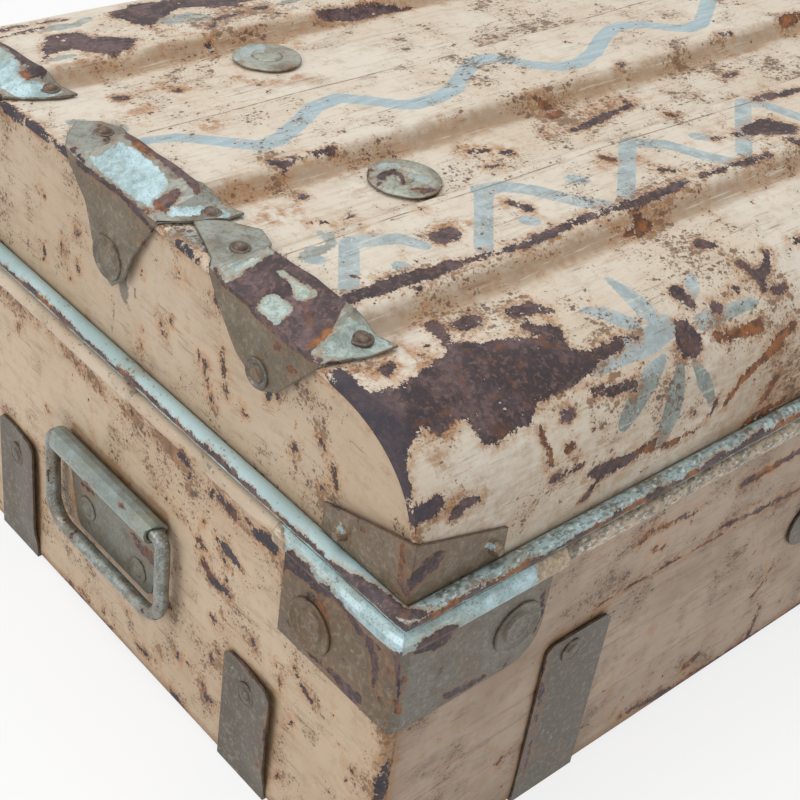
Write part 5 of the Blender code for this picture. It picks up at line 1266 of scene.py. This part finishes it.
RIM_RUST = [
    ((3, 5, 4), [(334, 564), (348, 578), (362, 588)]),
    ((6, 9, 9, 8), [(352, 578), (370, 590), (386, 602), (398, 610)]),
    ((7, 7, 6), [(398, 612), (416, 613), (438, 616)]), ((2, 3), [(438, 618), (462, 611)]),
    (3, [(572, 545), (592, 536), (612, 527)]), (4, [(650, 502), (668, 488)]),
    (4, [(706, 466), (724, 453)]), (3, [(752, 440), (762, 432)]), (3, [(524, 568), (536, 562)]),
    (2.5, [(205, 446), (210, 451)]), (3, [(296, 531), (304, 538)]), (3, [(126, 380), (132, 386)]),
    (2, [(60, 318), (66, 324)]),
]
RIM_CHIPS = [
    (3, [(124, 406), (150, 430), (176, 452)]), (5, [(180, 454), (190, 468)]),
    (5, [(215, 494), (222, 502)]), ((6, 6), [(225, 506), (236, 516)]), (4, [(246, 520), (254, 527)]),
    ((8, 9), [(255, 530), (276, 547)]), ((3, 7, 4), [(640, 543), (664, 531), (696, 511)]),
    ((4, 8, 8), [(742, 484), (770, 466), (802, 446)]), (4, [(584, 562), (600, 555)]),
    (5, [(702, 500), (728, 487)]), (4, [(618, 548), (640, 536)]),
]


def rim_stations(radius, step=0.0026, fine=6):
    """Stations right round the trunk: x, y, outward x, outward y, mitre reach."""
    out = []
    for k in range(fine + 1):
        t = math.pi / 2 * k / fine
        reach = 1.0 / max(math.cos(t), math.sin(t)) ** 0.8
        out.append((radius * (1 - math.cos(t)), radius * (1 - math.sin(t)), -math.cos(t) * reach,
                    -math.sin(t) * reach))
    front = [(x, 0.0, 0.0, -1.0) for x in np.linspace(0.008, LENGTH - 0.008, int(LENGTH / step))]
    near_right = [(LENGTH - x, y, -nx, ny) for x, y, nx, ny in reversed(out)]
    right = [(LENGTH, y, 1.0, 0.0) for y in np.linspace(0.008, DEPTH - 0.008, int(DEPTH / step))]
    far_right = [(LENGTH - x, DEPTH - y, -nx, -ny) for x, y, nx, ny in out]
    back = [(x, DEPTH, 0.0, 1.0) for x, _, _, _ in reversed(front)]
    far_left = [(x, DEPTH - y, nx, -ny) for x, y, nx, ny in reversed(out)]
    left = [(0.0, y, -1.0, 0.0) for _, y, _, _ in reversed(right)]
    return np.array(out + front + near_right + right + far_right + back + far_left + left)


def rim(name, node, body, bead, corner_radius, mat, seed, strokes):
    """A rolled rim right round the trunk, dented a little."""
    z_mid, radius = bead
    stations = rim_stations(corner_radius)
    half = math.acos((GAP - BEAD_OUT) / radius)
    t = np.linspace(-half, half, 19)
    out = BEAD_OUT + radius * np.cos(t)
    points = np.empty((len(stations), len(t), 3))
    points[..., 0] = stations[:, :1] + stations[:, 2:3] * out
    points[..., 1] = stations[:, 1:2] + stations[:, 3:] * out
    points[..., 2] = z_mid + radius * np.sin(t)
    dent = np.minimum(0.00022 * wobble(points, 0.03, seed) + 0.00018 * wobble(points, 0.009, seed + 1), 0.0)
    dent = dent * np.sin(np.linspace(0, math.pi, len(t)))
    points[..., 0] += stations[:, 2:3] * np.cos(t) * dent
    points[..., 1] += stations[:, 3:] * np.cos(t) * dent
    points[..., 2] += np.sin(t) * dent
    seen = (points[..., 0] < 0.43) & (points[..., 1] < 0.42)
    rust = picture_distance(points.reshape(-1, 3), strokes).reshape(seen.shape)
    attributes = {"rust": marks(np.where(seen, rust, FAR)),
                  "warm": smoothstep((wobble(points, 0.035, seed + 2) - 0.1) / 0.3)}
    obj = grid_mesh(name, points, closed_i=True, closed_j=True, attributes=attributes)
    obj.data.materials.append(mat)
    finish_piece(obj, body, [node], 60)


rim("lid_bead", "lid_rim_wire", "lid", LID_BEAD, 0.0, LID_BEAD_PAINT, 101, RIM_RUST)
rim("base_bead", "base_rim_wire", "base", BASE_BEAD, BOX_CORNER, BASE_BEAD_PAINT, 103, RIM_CHIPS)

# Hardware: finely cut copies of the solids, with marks, and turned rivets and washers
# How far it stands out from the walls
STRAP_OUT = 0.0018
FRONT_OUT = 0.0033
HANDLE_OUT = 0.0022
FOLD_OUT = 0.0015
CAP_SHEET = 0.0013
# Where its rivets and washers sit: (y, z) on an end, (x, z) on a long wall, at the near left corner
END_WASHER = (0.0587, 0.1525)
LONG_WASHER = (0.0764, 0.1594)
WASHER_REACH = 0.0158
STRAP_RIVET = (0.130, 0.110)
END_STRAP_RIVETS = {"front": (0.101, 0.066), "back": (0.335, 0.070)}
RIVET_REACH = 0.0060
STRAP_HALF = 0.021
STRAP_LIFT = 0.0026
HANDLE_RIVETS = ((0.255, 0.084), (0.203, 0.0765))
HANDLE_RIVET_REACH = 0.0050


def end_normal(right):
    return (1 if right else -1, 0, 0)


def long_normal(back):
    return (0, 1 if back else -1, 0)


def end_x(out, right):
    """The x of a place that stands out from an end."""
    return LENGTH + out if right else -out


def placed_like(points, right, back):
    """Points carried to the near left corner, where the photograph's marks are."""
    out = points.copy()
    if right:
        out[:, 0] = LENGTH - out[:, 0]
    if back:
        out[:, 1] = DEPTH - out[:, 1]
    return out


def fine_copy(node, body, mat, step, marks_of, right=False, back=False, warp=None, flatten=(), end_mat=None,
              angle=38):
    """A finely cut copy of a solid, whose points carry marks."""
    mesh = bpy.data.objects[node].data.copy()
    mesh.materials.clear()
    bm = bmesh.new()
    bm.from_mesh(mesh)
    bmesh.ops.dissolve_limit(bm, angle_limit=0.005, verts=bm.verts[:], edges=bm.edges[:])
    low, high = (np.array(v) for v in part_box(node))
    for axis in range(3):
        count = int((high[axis] - low[axis]) / step)
        for k in range(1, count + 1):
            place = [0.0, 0.0, 0.0]
            place[axis] = low[axis] + (high[axis] - low[axis]) * k / (count + 1)
            normal = [float(a == axis) for a in range(3)]
            geom = bm.verts[:] + bm.edges[:] + bm.faces[:]
            bmesh.ops.bisect_plane(bm, geom=geom, plane_co=place, plane_no=normal, dist=1e-6)
    points = placed_like(np.array([v.co[:] for v in bm.verts]) - CORNER, right, back)
    for axis, centre, radius, level in flatten:
        across = np.delete(points, axis, 1) - np.array(centre)
        near = (np.hypot(across[:, 0], across[:, 1]) < radius) & (points[:, axis] < level)
        points[near, axis] = level
    seen = points.copy()
    if warp is not None:
        points = warp(points)
    back_again = placed_like(points, right, back) + CORNER
    for v, co in zip(bm.verts, back_again.tolist()):
        v.co = co
    bmesh.ops.triangulate(bm, faces=[f for f in bm.faces if len(f.verts) > 4])
    if end_mat is not None:
        bm.normal_update()
        for face in bm.faces:
            face.material_index = int(abs(face.normal.x) > 0.8)
    bm.to_mesh(mesh)
    bm.free()
    jitter = 0.0 if not (right or back) else 0.004 * (1 + right + 2 * back)
    write_marks(mesh, marks_of(seen + jitter * np.array([0.3, -1.0, 0.4])))
    mesh.materials.append(mat)
    if end_mat is not None:
        mesh.materials.append(end_mat)
    name = node + "_sheet"
    mesh.name = name
    finish_piece(bpy.data.objects.new(name, mesh), body, [node], angle)


def picture_marks(rust=(), rust_patches=(), pale=(), pale_patches=(), warm=(), pale_above=None,
                  pale_span=(-FAR * PHOTO, FAR * PHOTO), green=0.0):
    """A function that gives hardware its marks from strokes and patches in pixels."""
    def values(points):
        warm_far = picture_distance(points, warm)
        over = picture_distance(points, (), pale_patches)
        rust_far = np.maximum(picture_distance(points, (), rust_patches), -over)
        pale_far = np.minimum(picture_distance(points, pale), over)
        cream = np.zeros(len(points))
        if pale_above is not None:
            across = photo_places(points)[:, 0] / PIXEL
            beyond = np.maximum(pale_span[0] - across, across - pale_span[1]) * PIXEL
            rolled = np.maximum(pale_above - points[:, 2], beyond) / MM
            pale_far = np.minimum(pale_far, rolled)
            cream = ((points[:, 2] > pale_above) & (beyond > 0)).astype(float)
        rust_far = np.minimum(rust_far, picture_distance(points, rust))
        return {"rust": marks(np.minimum(rust_far, warm_far)), "pale": marks(pale_far),
                "warm": warmth(warm_far), "green": np.full(len(points), green),
                "cream": cream}
    return values


def ring_points(centre, normal, profile, segments, wave, seed):
    """Rings of points turned round a normal; the profile is (radius, height) in mm."""
    normal = np.array(normal, dtype=float)
    normal /= np.linalg.norm(normal)
    side = np.cross(normal, [0.31, 0.86, 0.4])
    side /= np.linalg.norm(side)
    other = np.cross(normal, side)
    angle = np.linspace(0, 2 * math.pi, segments, endpoint=False)
    local = np.random.default_rng(seed)
    ripple = sum(local.normal() * np.cos(k * angle + local.uniform(0, 6.28)) / k for k in range(2, 12))
    rows = []
    for radius, height in profile:
        r = radius * MM * (1 + wave * ripple)
        rows.append(np.array(centre) + normal * height * MM + (np.outer(np.cos(angle),
                                                                        side) + np.outer(np.sin(angle),
                                                                                         other)) * r[:,
                                                                                                     None])
    return rows


def turned(name, body, mat, items, nodes=(), segments=36, wave=0.0, seed=1, marks_of=None,
           right=False):
    """Rivets and washers as one piece; each item is a centre, a normal and a profile."""
    verts, faces = [], []
    for k, (centre, normal, profile) in enumerate(items):
        rows = ring_points(centre, normal, profile, segments, wave, seed + k)
        start = len(verts)
        for row in rows:
            verts.extend((row + CORNER).tolist())
        for i in range(len(rows) - 1):
            for j in range(segments):
                a = start + i * segments + j
                b = start + i * segments + (j + 1) % segments
                faces.append((a, b, b + segments, a + segments))
        faces.append(tuple(start + (len(rows) - 1) * segments + j for j in range(segments)))
        faces.append(tuple(start + j for j in reversed(range(segments))))
    mesh = bpy.data.meshes.new(name)
    mesh.from_pydata(verts, [], faces)
    mesh.update()
    if marks_of is not None:
        write_marks(mesh, marks_of(placed_like(np.array(verts) - CORNER, right, False)))
    mesh.materials.append(mat)
    finish_piece(bpy.data.objects.new(name, mesh), body, nodes, 50)


def head(radius, height, foot=-0.3):
    """A domed rivet head."""
    arc = [(radius * math.cos(t), 0.3 + (height - 0.3) * math.sin(t)) for t in np.linspace(0, 1.45, 7)]
    return [(radius * 0.98, foot)] + arc


WASHER = [(15.3, -0.2), (15.4, 0.8), (15.0, 1.4), (14.2, 1.6), (13.4, 1.2), (12.4, 0.6), (9.4, 0.6),
          (8.9, 1.2), (8.2, 1.8), (7.5, 1.8), (6.9, 1.3), (6.0, 0.9), (3.0, 0.9), (2.2, 1.1), (1.2, 1.2)]
SMALL_WASHER = [(7.6, -0.2), (7.7, 0.5), (7.2, 0.9), (6.4, 1.0), (5.8, 0.75), (4.6, 0.75), (4.0, 1.2),
                (2.0, 1.35)]

# End caps of the battens
CAP_MARKS = {"front": picture_marks(rust=[(4, [(229, 284), (255, 312), (289, 342), (312, 358)]),
                                          (2.5, [(311, 358), (328, 363), (353, 367), (384, 368),
                                                 (400, 355)]), (2, [(214, 268), (222, 280), (229, 290)]),
                                          (2.5, [(229, 283), (256, 267), (282, 251)]),
                                          (2.5, [(282, 251), (312, 275), (346, 300)])],
                                    rust_patches=[[(229, 283), (282, 251), (347, 300), (340, 314),
                                                   (337, 326), (326, 332), (318, 344), (311, 358),
                                                   (289, 343), (255, 311)]],
                                    pale=[(10, [(330, 350), (350, 352)]), (8, [(348, 326), (356, 330)])],
                                    pale_patches=[[(275, 271), (284, 270), (297, 281), (315, 291),
                                                   (317, 295), (302, 303), (294, 297), (289, 284),
                                                   (277, 275)],
                                                  [(256, 309), (264, 295), (277, 293), (282, 299),
                                                   (294, 308), (294, 314), (282, 322), (277, 327),
                                                   (266, 321)],
                                                  [(323, 343), (339, 331), (347, 317), (359, 322),
                                                   (378, 336), (392, 348), (384, 355), (360, 361),
                                                   (347, 359), (329, 354)],
                                                  [(224, 262), (244, 262), (262, 258), (252, 268),
                                                   (234, 277)]], green=0.85,
                                    warm=[(3, [(360, 365), (384, 357), (396, 354)]),
                                          (4, [(312, 346), (322, 338), (330, 330)]),
                                          (3, [(290, 368), (296, 372)]), (3, [(276, 346), (282, 350)]),
                                          (2.5, [(257, 360), (262, 384)])]),
             "middle": picture_marks(rust=[((5, 6, 6, 5),
                                            [(128, 136), (150, 148), (172, 165), (194, 185)]),
                                           ((3, 4, 4, 3), [(79, 163), (115, 189), (134, 206), (153, 230)]),
                                           ((6, 8, 5), [(157, 206), (168, 200), (178, 192)]),
                                           (3, [(72, 148), (84, 162)]), (4, [(186, 178), (198, 192)]),
                                           (3, [(100, 128), (108, 142)])],
                                     pale=[(6, [(170, 212), (204, 210), (226, 216)])],
                                     pale_patches=[[(88, 158), (104, 152), (120, 143), (138, 152),
                                                    (163, 174), (170, 188), (158, 199), (153, 211),
                                                    (143, 203), (128, 195), (107, 178)]],
                                     warm=[(3, [(150, 212), (158, 206), (166, 212)]),
                                           (3, [(132, 142), (150, 154)]),
                                           (2.5, [(140, 240), (146, 246)])]),
             "rear": picture_marks(rust=[((9, 11, 9), [(-6, 32), (20, 50), (42, 70)]),
                                         (4, [(-4, 110), (10, 114)]), ((5, 4), [(24, 74), (42, 78)]),
                                         (3, [(-4, 88), (2, 106)]), (3, [(74, 98), (80, 104)])],
                                   pale_patches=[[(-20, 40), (0, 48), (14, 56), (22, 66), (20, 78),
                                                  (28, 80), (51, 85), (62, 92), (44, 100), (20, 98),
                                                  (4, 90), (-20, 80)]], warm=[(4, [(20, 70), (26, 78)])]),
             }
CAP_BUMPS = {"front": ((0.0265, 0.0703), (0.0215, 0.1660)), "middle": ((0.0290, 0.1868), (0.0215, 0.2810)),
             "rear": ((0.0260, 0.3325), (0.0215, 0.4200))}
CAP_RIVET_PIXELS = {"front": ((360, 343, 4.6), (240, 252, 3.7)),
                    "middle": ((211, 217, 3.7), (104, 136, 3.8)), "rear": ((50, 93, 4.0),)}
CAP_WASHER_PLACES = {"front": (0.112, 0.031, 0.52), "middle": (0.236, 0.041, 0.80),
                     "rear": (0.383, 0.037, 0.72)}
CAP_SIDE = 0.0016
CAP_RAMP = 0.024


def cap_top(x, y):
    """Height of a cap's upper face."""
    share = np.clip((x + FOLD_OUT) / CAP_RAMP, 0, 1)
    return roof(y) + 2 * GAP + CAP_SHEET + BATTEN_RISE * batten(y, CAP_SIDE) * share


def cap_warp(place):
    """Dents in a cap's sheet, with the solid's own rivets pressed flat."""
    def warp(points):
        out = points.copy()
        for x, y in CAP_BUMPS[place]:
            near = np.hypot(points[:, 0] - x, points[:, 1] - y) < 0.0042
            out[near, 2] = np.minimum(out[near, 2], cap_top(points[near, 0], points[near, 1]))
        above = points[:, 0] > 0.0005
        out[above, 2] += 0.0004 * (1 + wobble(points[above], 0.022, 5))
        out[~above, 0] -= 0.0003 * (1 + wobble(points[~above], 0.03, 6))
        return out
    return warp


for side, right in SIDES:
    for place, look in CAP_MARKS.items():
        node = "batten_cap_%s_%s" % (side, place)
        items = []
        for px, py, radius in CAP_RIVET_PIXELS[place]:
            x, s = on_lid((px, py))
            y = float(np.interp(s, LINE_S, LINE[:, 0]))
            z = float(cap_top(x, y)) + 0.0004
            profile = [(radius + 1.5, -0.4), (radius + 1.5, 0.3), (radius + 0.9, 0.7)] + head(radius, 3.0,
                                                                                              0.7)
            items.append(((LENGTH - x if right else x, y, z), (0, -roof_slope(y), 1), profile))
        y, depth, share = CAP_WASHER_PLACES[place]
        centre = (end_x(FOLD_OUT + CAP_SHEET, right), y, float(roof(y)) + GAP * 2 - depth)
        profile = [(r * share, max(0.2, h) if h > 0 else h) for r, h in WASHER]
        items.append((centre, end_normal(right), profile))
        turned(node + "_rivets", "lid", FASTENER, items[:-1], segments=24, wave=0.03, seed=3)
        turned(node + "_washer", "lid", BRACKET_IRON, items[-1:], wave=0.02, seed=5)
        fine_copy(node, "lid", CAP_IRON, 0.005 if right else 0.003, look, right, warp=cap_warp(place),
                  end_mat=FLANGE_IRON)

# Corner brackets of the base
BRACKET_MARKS = picture_marks(rust=[((2, 3, 3, 3, 2),
                                     [(331, 594), (349, 615), (362, 635), (375, 645), (394, 656)]),
                                    ((2, 3, 3, 2), [(394, 656), (413, 653), (432, 644), (459, 625)]),
                                    ((2, 3, 5, 6), [(308, 652), (326, 667), (343, 685), (357, 699)]),
                                    ((4, 6), [(340, 690), (352, 702)]),
                                    ((6, 5, 3), [(371, 646), (376, 664), (375, 690)]),
                                    (3, [(283, 560), (284, 572)]),
                                    ((3, 4, 3), [(444, 697), (462, 688), (484, 676)]),
                                    (2, [(398, 660), (399, 690), (396, 712)]),
                                    (2, [(543, 590), (542, 612), (532, 634)])],
                              rust_patches=[[(283, 561), (286, 551), (293, 549), (297, 556), (306, 562),
                                             (313, 571), (316, 583), (329, 583), (334, 596), (326, 598),
                                             (316, 590), (298, 577), (287, 567)],
                                            [(413, 647), (439, 628), (455, 625), (456, 629), (445, 645),
                                             (426, 653)]], pale_above=0.1925, pale_span=(284, 538),
                              warm=[(2, [(318, 600), (326, 612), (332, 628)]),
                                    (2, [(388, 668), (389, 676)]), (2, [(404, 676), (405, 684)]),
                                    (3, [(272, 590), (276, 606)]), (3, [(394, 700), (400, 712)]),
                                    (2, [(380, 700), (384, 706)])])
for side, right in SIDES:
    for depth_side, back in DEPTHS:
        node = "base_corner_bracket_%s_%s" % (depth_side, side)
        fine_copy(node, "base", BRACKET_IRON, 0.007 if right or back else 0.004, BRACKET_MARKS, right,
                  back, end_mat=BRACKET_SIDE_IRON, angle=55,
                  flatten=[(0, END_WASHER, WASHER_REACH, -STRAP_OUT),
                           (1, LONG_WASHER, WASHER_REACH, -FRONT_OUT)])
        near = placed_like(np.array([[-STRAP_OUT, *END_WASHER],
                                     [LONG_WASHER[0], -FRONT_OUT, LONG_WASHER[1]]]), right, back)
        for word, mat, centre, normal, seed in (("end", BRACKET_SIDE_IRON, near[0], end_normal(right), 9),
                                                ("long", BRACKET_IRON, near[1], long_normal(back), 10)):
            turned("%s_%s_washer" % (node, word), "base", mat, [(centre, normal, WASHER)],
                   segments=48, wave=0.012, seed=seed)

# Corner brackets of the lid
LID_BRACKET_MARKS = picture_marks(rust=[((5, 8, 9, 5), [(406, 590), (418, 578), (432, 564), (444, 552)]),
                                        ((2, 2), [(401, 536), (400, 582)]),
                                        (1.5, [(332, 505), (352, 512), (398, 533)]),
                                        (2, [(404, 596), (414, 606)])],
                                  pale=[(2, [(342, 524), (348, 527)]), (5, [(340, 529), (343, 532)]),
                                        (5, [(489, 545), (493, 548)])],
                                  warm=[((2, 3), [(402, 540), (402, 580)]), (3, [(344, 536), (350, 542)]),
                                        (2, [(361, 524), (363, 534)])])
for side, right in SIDES:
    for depth_side, back in DEPTHS:
        node = "lid_corner_bracket_%s_%s" % (depth_side, side)
        fine_copy(node, "lid", LID_BRACKET_IRON, 0.004, LID_BRACKET_MARKS, right, back)


# Straps

def lifted(y_mid, half, rise):
    """A strap whose edge nearer the front stands off the wall."""
    def warp(points):
        out = points.copy()
        share = smoothstep((y_mid + half * 0.3 - points[:, 1]) / (half * 1.3))
        seen = smoothstep((points[:, 2] - 0.006) / 0.02)
        out[:, 0] -= rise * share * seen * (points[:, 0] < 0.0001)
        return out
    return warp


STRAP_MARKS = picture_marks(
    rust=[((1, 2, 1), [(545, 650), (540, 700), (522, 780)]), (1.5, [(274, 700), (276, 760)]),
          (2, [(268, 720), (272, 770)]), (1.5, [(228, 645), (256, 680)])],
    warm=[(2, [(582, 730), (580, 750)]), (2, [(256, 750), (262, 770)])])
for side, right in SIDES:
    for depth_side, back in DEPTHS:
        node = "%s_strap_%s" % (depth_side, side)
        fine_copy(node, "base", IRON, 0.006, STRAP_MARKS, right, back,
                  flatten=[(1, STRAP_RIVET, RIVET_REACH, -STRAP_OUT)])
        centre = placed_like(np.array([[STRAP_RIVET[0], -STRAP_OUT, STRAP_RIVET[1]]]), right, back)[0]
        turned(node + "_rivet", "base", IRON, [(centre, long_normal(back), SMALL_WASHER)],
               wave=0.02, seed=11)
    for place, (y, z) in END_STRAP_RIVETS.items():
        node = "end_strap_%s_%s" % (side, place)
        fine_copy(node, "base", IRON, 0.006, STRAP_MARKS, right, warp=lifted(y, STRAP_HALF, STRAP_LIFT),
                  flatten=[(0, (y, z), RIVET_REACH, -STRAP_OUT)])
        centre = (end_x(STRAP_OUT + 0.0005, right), y, z)
        turned(node + "_rivet", "base", IRON, [(centre, end_normal(right), SMALL_WASHER)],
               wave=0.02, seed=13)

# Handle plates and bails
HANDLE_MARKS = picture_marks(rust=[(2, [(82, 482), (94, 494)]),
                                   ((2, 3, 2), [(132, 532), (142, 548), (150, 560)]),
                                   (1.5, [(52, 466), (66, 482)]), (1.5, [(120, 504), (134, 516)]),
                                   (2, [(150, 556), (156, 566)])],
                             warm=[(2.5, [(146, 548), (152, 556)]), (2, [(96, 544), (102, 552)])],
                             pale_above=0.1175)


# The roll's middle on the left handle plate, half its length, and the bail's loop of wire
TUBE = np.array([-0.008, 0.228, 0.124])
ROLL_HALF = 0.040
ROLL_REACH = 0.0028
BAIL_HALF = 0.0555
BAIL_DROP = 0.062
BAIL_BEND = 0.017
BAIL_SHOULDER = 0.006
BAIL_WIRE = 0.0045
BAIL_END = 0.0315
HANDLE_RIVET = SMALL_WASHER[:-2] + [(4.2, 1.2), (2.4, 1.9), (1.2, 2.0)]


def longer_tube(points):
    """The roll's upper side reaches out over the wire's bends."""
    out = points.copy()
    inward, away, up = (points - TUBE).T
    share = smoothstep((0.87 * up + 0.5 * inward - 0.002) / 0.0025)
    share = share * smoothstep((np.abs(away) - ROLL_HALF) / 0.0075)
    out[:, 1] += np.sign(away) * ROLL_REACH * share
    return out


for side, right in SIDES:
    node = "handle_plate_" + side
    fine_copy(node, "base", HANDLE_IRON, 0.005, HANDLE_MARKS, right, warp=longer_tube,
              flatten=[(0, place, HANDLE_RIVET_REACH, -HANDLE_OUT) for place in HANDLE_RIVETS])
    items = [((end_x(HANDLE_OUT, right), y, z), end_normal(right), HANDLE_RIVET) for y, z in HANDLE_RIVETS]
    turned(node + "_rivets", "base", HANDLE_IRON, items, wave=0.03, seed=15)


def arc(centre, radius, start, stop, steps):
    t = np.radians(np.linspace(start, stop, steps + 1))
    return [(centre[0] + radius * math.cos(a), centre[1] + radius * math.sin(a)) for a in t]


def bail(side, right):
    """The wire loop of a handle, a little flattened by wear."""
    loop = [(-BAIL_END, 0.0), (-ROLL_HALF, 0.0)]
    loop += arc((-BAIL_HALF + BAIL_SHOULDER, -BAIL_SHOULDER), BAIL_SHOULDER, 90, 180, 6)
    loop += [(-BAIL_HALF, -0.02), (-BAIL_HALF, -0.034)]
    loop += arc((-BAIL_HALF + BAIL_BEND, -BAIL_DROP + BAIL_BEND), BAIL_BEND, 180, 270, 12)
    loop += [(-0.02, -BAIL_DROP), (0.0, -BAIL_DROP)]
    loop += [(-u, v) for u, v in reversed(loop[:-1])]
    line = TUBE + np.array([(0.0, u, v) for u, v in loop])
    run = np.gradient(line, axis=0)
    run /= np.linalg.norm(run, axis=1)[:, None]
    out = np.array([1.0, 0.0, 0.0])
    angle = np.linspace(0, 2 * math.pi, 20, endpoint=False)
    points = np.empty((len(line), 20, 3))
    for k, (place, along) in enumerate(zip(line, run)):
        across = np.cross(along, out)
        points[k] = place + BAIL_WIRE * (np.outer(np.cos(angle), out) + np.outer(np.sin(angle), across))
    middle = points.mean(1, keepdims=True)
    inside = (np.abs(points[..., 1] - TUBE[1]) > 0.05) | (points[..., 2] < 0.1)
    points = middle + (points - middle) * (1 - 0.035 * (1 + wobble(points, 0.012, 121)) * inside)[..., None]
    if right:
        points[..., 0] = LENGTH - points[..., 0]
    ends = [points[:1].mean(1, keepdims=True) + 0 * points[:1],
            points[-1:].mean(1, keepdims=True) + 0 * points[-1:]]
    shrunk = [e + (p - e) * 0.4 for e, p in zip(ends, (points[:1], points[-1:]))]
    points = np.concatenate([shrunk[0], points, shrunk[1]])
    obj = grid_mesh("bail_wire_" + side, points, closed_j=True, flip=right)
    bm = bmesh.new()
    bm.from_mesh(obj.data)
    bmesh.ops.holes_fill(bm, edges=[e for e in bm.edges if e.is_boundary], sides=0)
    bmesh.ops.recalc_face_normals(bm, faces=bm.faces[:])
    bm.to_mesh(obj.data)
    bm.free()
    obj.data.materials.append(STEEL)
    finish_piece(obj, "bail_" + side, ["bail_" + side], 50)


for side, right in SIDES:
    bail(side, right)

# Roundels on the roof
DISC = [(18.6, 0.0), (19.6, 0.2), (19.7, 0.8), (19.1, 1.3), (17.8, 1.45), (12.0, 1.5), (8.9, 1.5),
        (8.6, 1.1), (8.2, 1.1), (7.8, 1.9), (7.0, 2.1), (4.0, 2.1), (2.0, 2.0), (1.0, 2.0)]
BUTTON = [(15.5, 0.0), (19.4, 0.2), (19.5, 0.7), (18.9, 1.1), (16.0, 1.5), (12.5, 1.7), (9.6, 1.9),
          (8.6, 1.9), (7.9, 1.2), (7.0, 0.9), (5.0, 0.9), (4.6, 2.0), (4.0, 2.4), (2.2, 2.6), (1.0, 2.6)]
ROUNDEL_MARKS = picture_marks(rust=[((3, 4, 4, 3), [(379, 184), (382, 176), (391, 172), (400, 174)]),
                                    (3, [(400, 174), (404, 182)]), (2, [(366, 178), (372, 168)]),
                                    (2, [(424, 192), (436, 188)]),
                                    (1.6, [(234, 72), (262, 78), (286, 76)])],
                              pale=[((3, 7, 5), [(236, 58), (244, 52), (262, 47)]),
                                    ((3, 5), [(240, 68), (256, 74)]),
                                    ((4, 7, 4), [(372, 172), (384, 168), (398, 166)]),
                                    (4, [(412, 176), (428, 180)])],
                              warm=[(2, [(412, 188), (424, 190)]), (2, [(288, 72), (298, 68)])])
ROUNDELS = (("front", 0.133, 0.1722, BUTTON), ("back", 0.156, 0.3190, DISC))
for side, right in SIDES:
    for place, x, y, profile in ROUNDELS:
        normal = np.array([0, -roof_slope(y), 1.0])
        normal /= np.linalg.norm(normal)
        centre = np.array([LENGTH - x if right else x, y - 0.001, float(roof(y))]) + normal * (GAP + 0.0004)
        turned("roundel_disc_%s_%s" % (side, place), "lid", ROUNDEL_IRON,
               [(centre, normal, profile)], ["roundel_%s_%s" % (side, place)], segments=90, wave=0.03,
               seed=17 + 2 * right, marks_of=ROUNDEL_MARKS, right=right)

# Solids that keep their shape
CAD_LOOKS = {"base_bottom_panel": INSIDE, "staple": STEEL, "hasp_pin": FASTENER, "hinge_pin_left": FASTENER,
             "hinge_pin_right": FASTENER}
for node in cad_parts:
    obj = bpy.data.objects.get(node)
    if obj is None or obj.type != "MESH":
        continue
    look = ROUNDEL_IRON if node.startswith("roundel") else CAD_LOOKS.get(node, IRON)
    obj.data.materials.clear()
    obj.data.materials.append(look)


# Stage and light

def seen_ray(tree):
    """1 where the background itself is seen, 0 where it lights the trunk."""
    path = tree.nodes.new("ShaderNodeLightPath")
    out = path.outputs["Is Camera Ray"]
    for name in ("Is Glossy Ray", "Is Transmission Ray"):
        top = tree.nodes.new("ShaderNodeMath")
        top.operation = "MAXIMUM"
        tree.links.new(out, top.inputs[0])
        tree.links.new(path.outputs[name], top.inputs[1])
        out = top.outputs[0]
    return out


def stage():
    shader = Shader("pale_floor")
    shader.done(srgb(244, 244, 243), 0.9, specular=0.1)
    seen = seen_ray(shader.tree)
    glow = shader.node("ShaderNodeEmission")
    blend = shader.node("ShaderNodeMixShader")
    shader.put(blend.inputs[0], shader.mul(seen, 0.78))
    shader.put(blend.inputs[1], shader.bsdf.outputs[0])
    shader.put(blend.inputs[2], glow.outputs[0])
    shader.put(shader.tree.nodes["Material Output"].inputs["Surface"], blend.outputs[0])
    bpy.ops.mesh.primitive_plane_add(size=1.0, location=(0, 0, -0.0006))
    floor = bpy.context.object
    floor.name = "floor"
    floor.scale = (14, 14, 1)
    floor.data.materials.append(shader.mat)
    world = bpy.data.worlds.new("studio")
    bpy.context.scene.world = world
    world.use_nodes = True
    back = world.node_tree.nodes["Background"]
    back.inputs["Color"].default_value = (1.0, 1.0, 1.0, 1.0)
    strength = world.node_tree.nodes.new("ShaderNodeMapRange")
    world.node_tree.links.new(seen_ray(world.node_tree), strength.inputs[0])
    strength.inputs["To Min"].default_value = 0.5
    world.node_tree.links.new(strength.outputs[0], back.inputs["Strength"])


def lamp(name, place, aim, size, power):
    data = bpy.data.lights.new(name, "AREA")
    data.shape = "RECTANGLE"
    data.size = size[0]
    data.size_y = size[1]
    data.energy = power
    obj = bpy.data.objects.new(name, data)
    obj.location = place
    obj.rotation_euler = (Vector(aim) - Vector(place)).to_track_quat("-Z", "Y").to_euler()
    bpy.context.scene.collection.objects.link(obj)


stage()
lamp("overhead", (-0.3, 0.4, 2.4), (0, 0, 0.2), (2.4, 1.8), 26)
lamp("left_window", (-2.4, 0.4, 1.3), (0, 0, 0.2), (1.4, 1.6), 22)
lamp("front_fill", (0.8, -2.4, 1.2), (0, 0, 0.2), (1.6, 1.2), 8)
bpy.context.scene.view_settings.view_transform = "Standard"
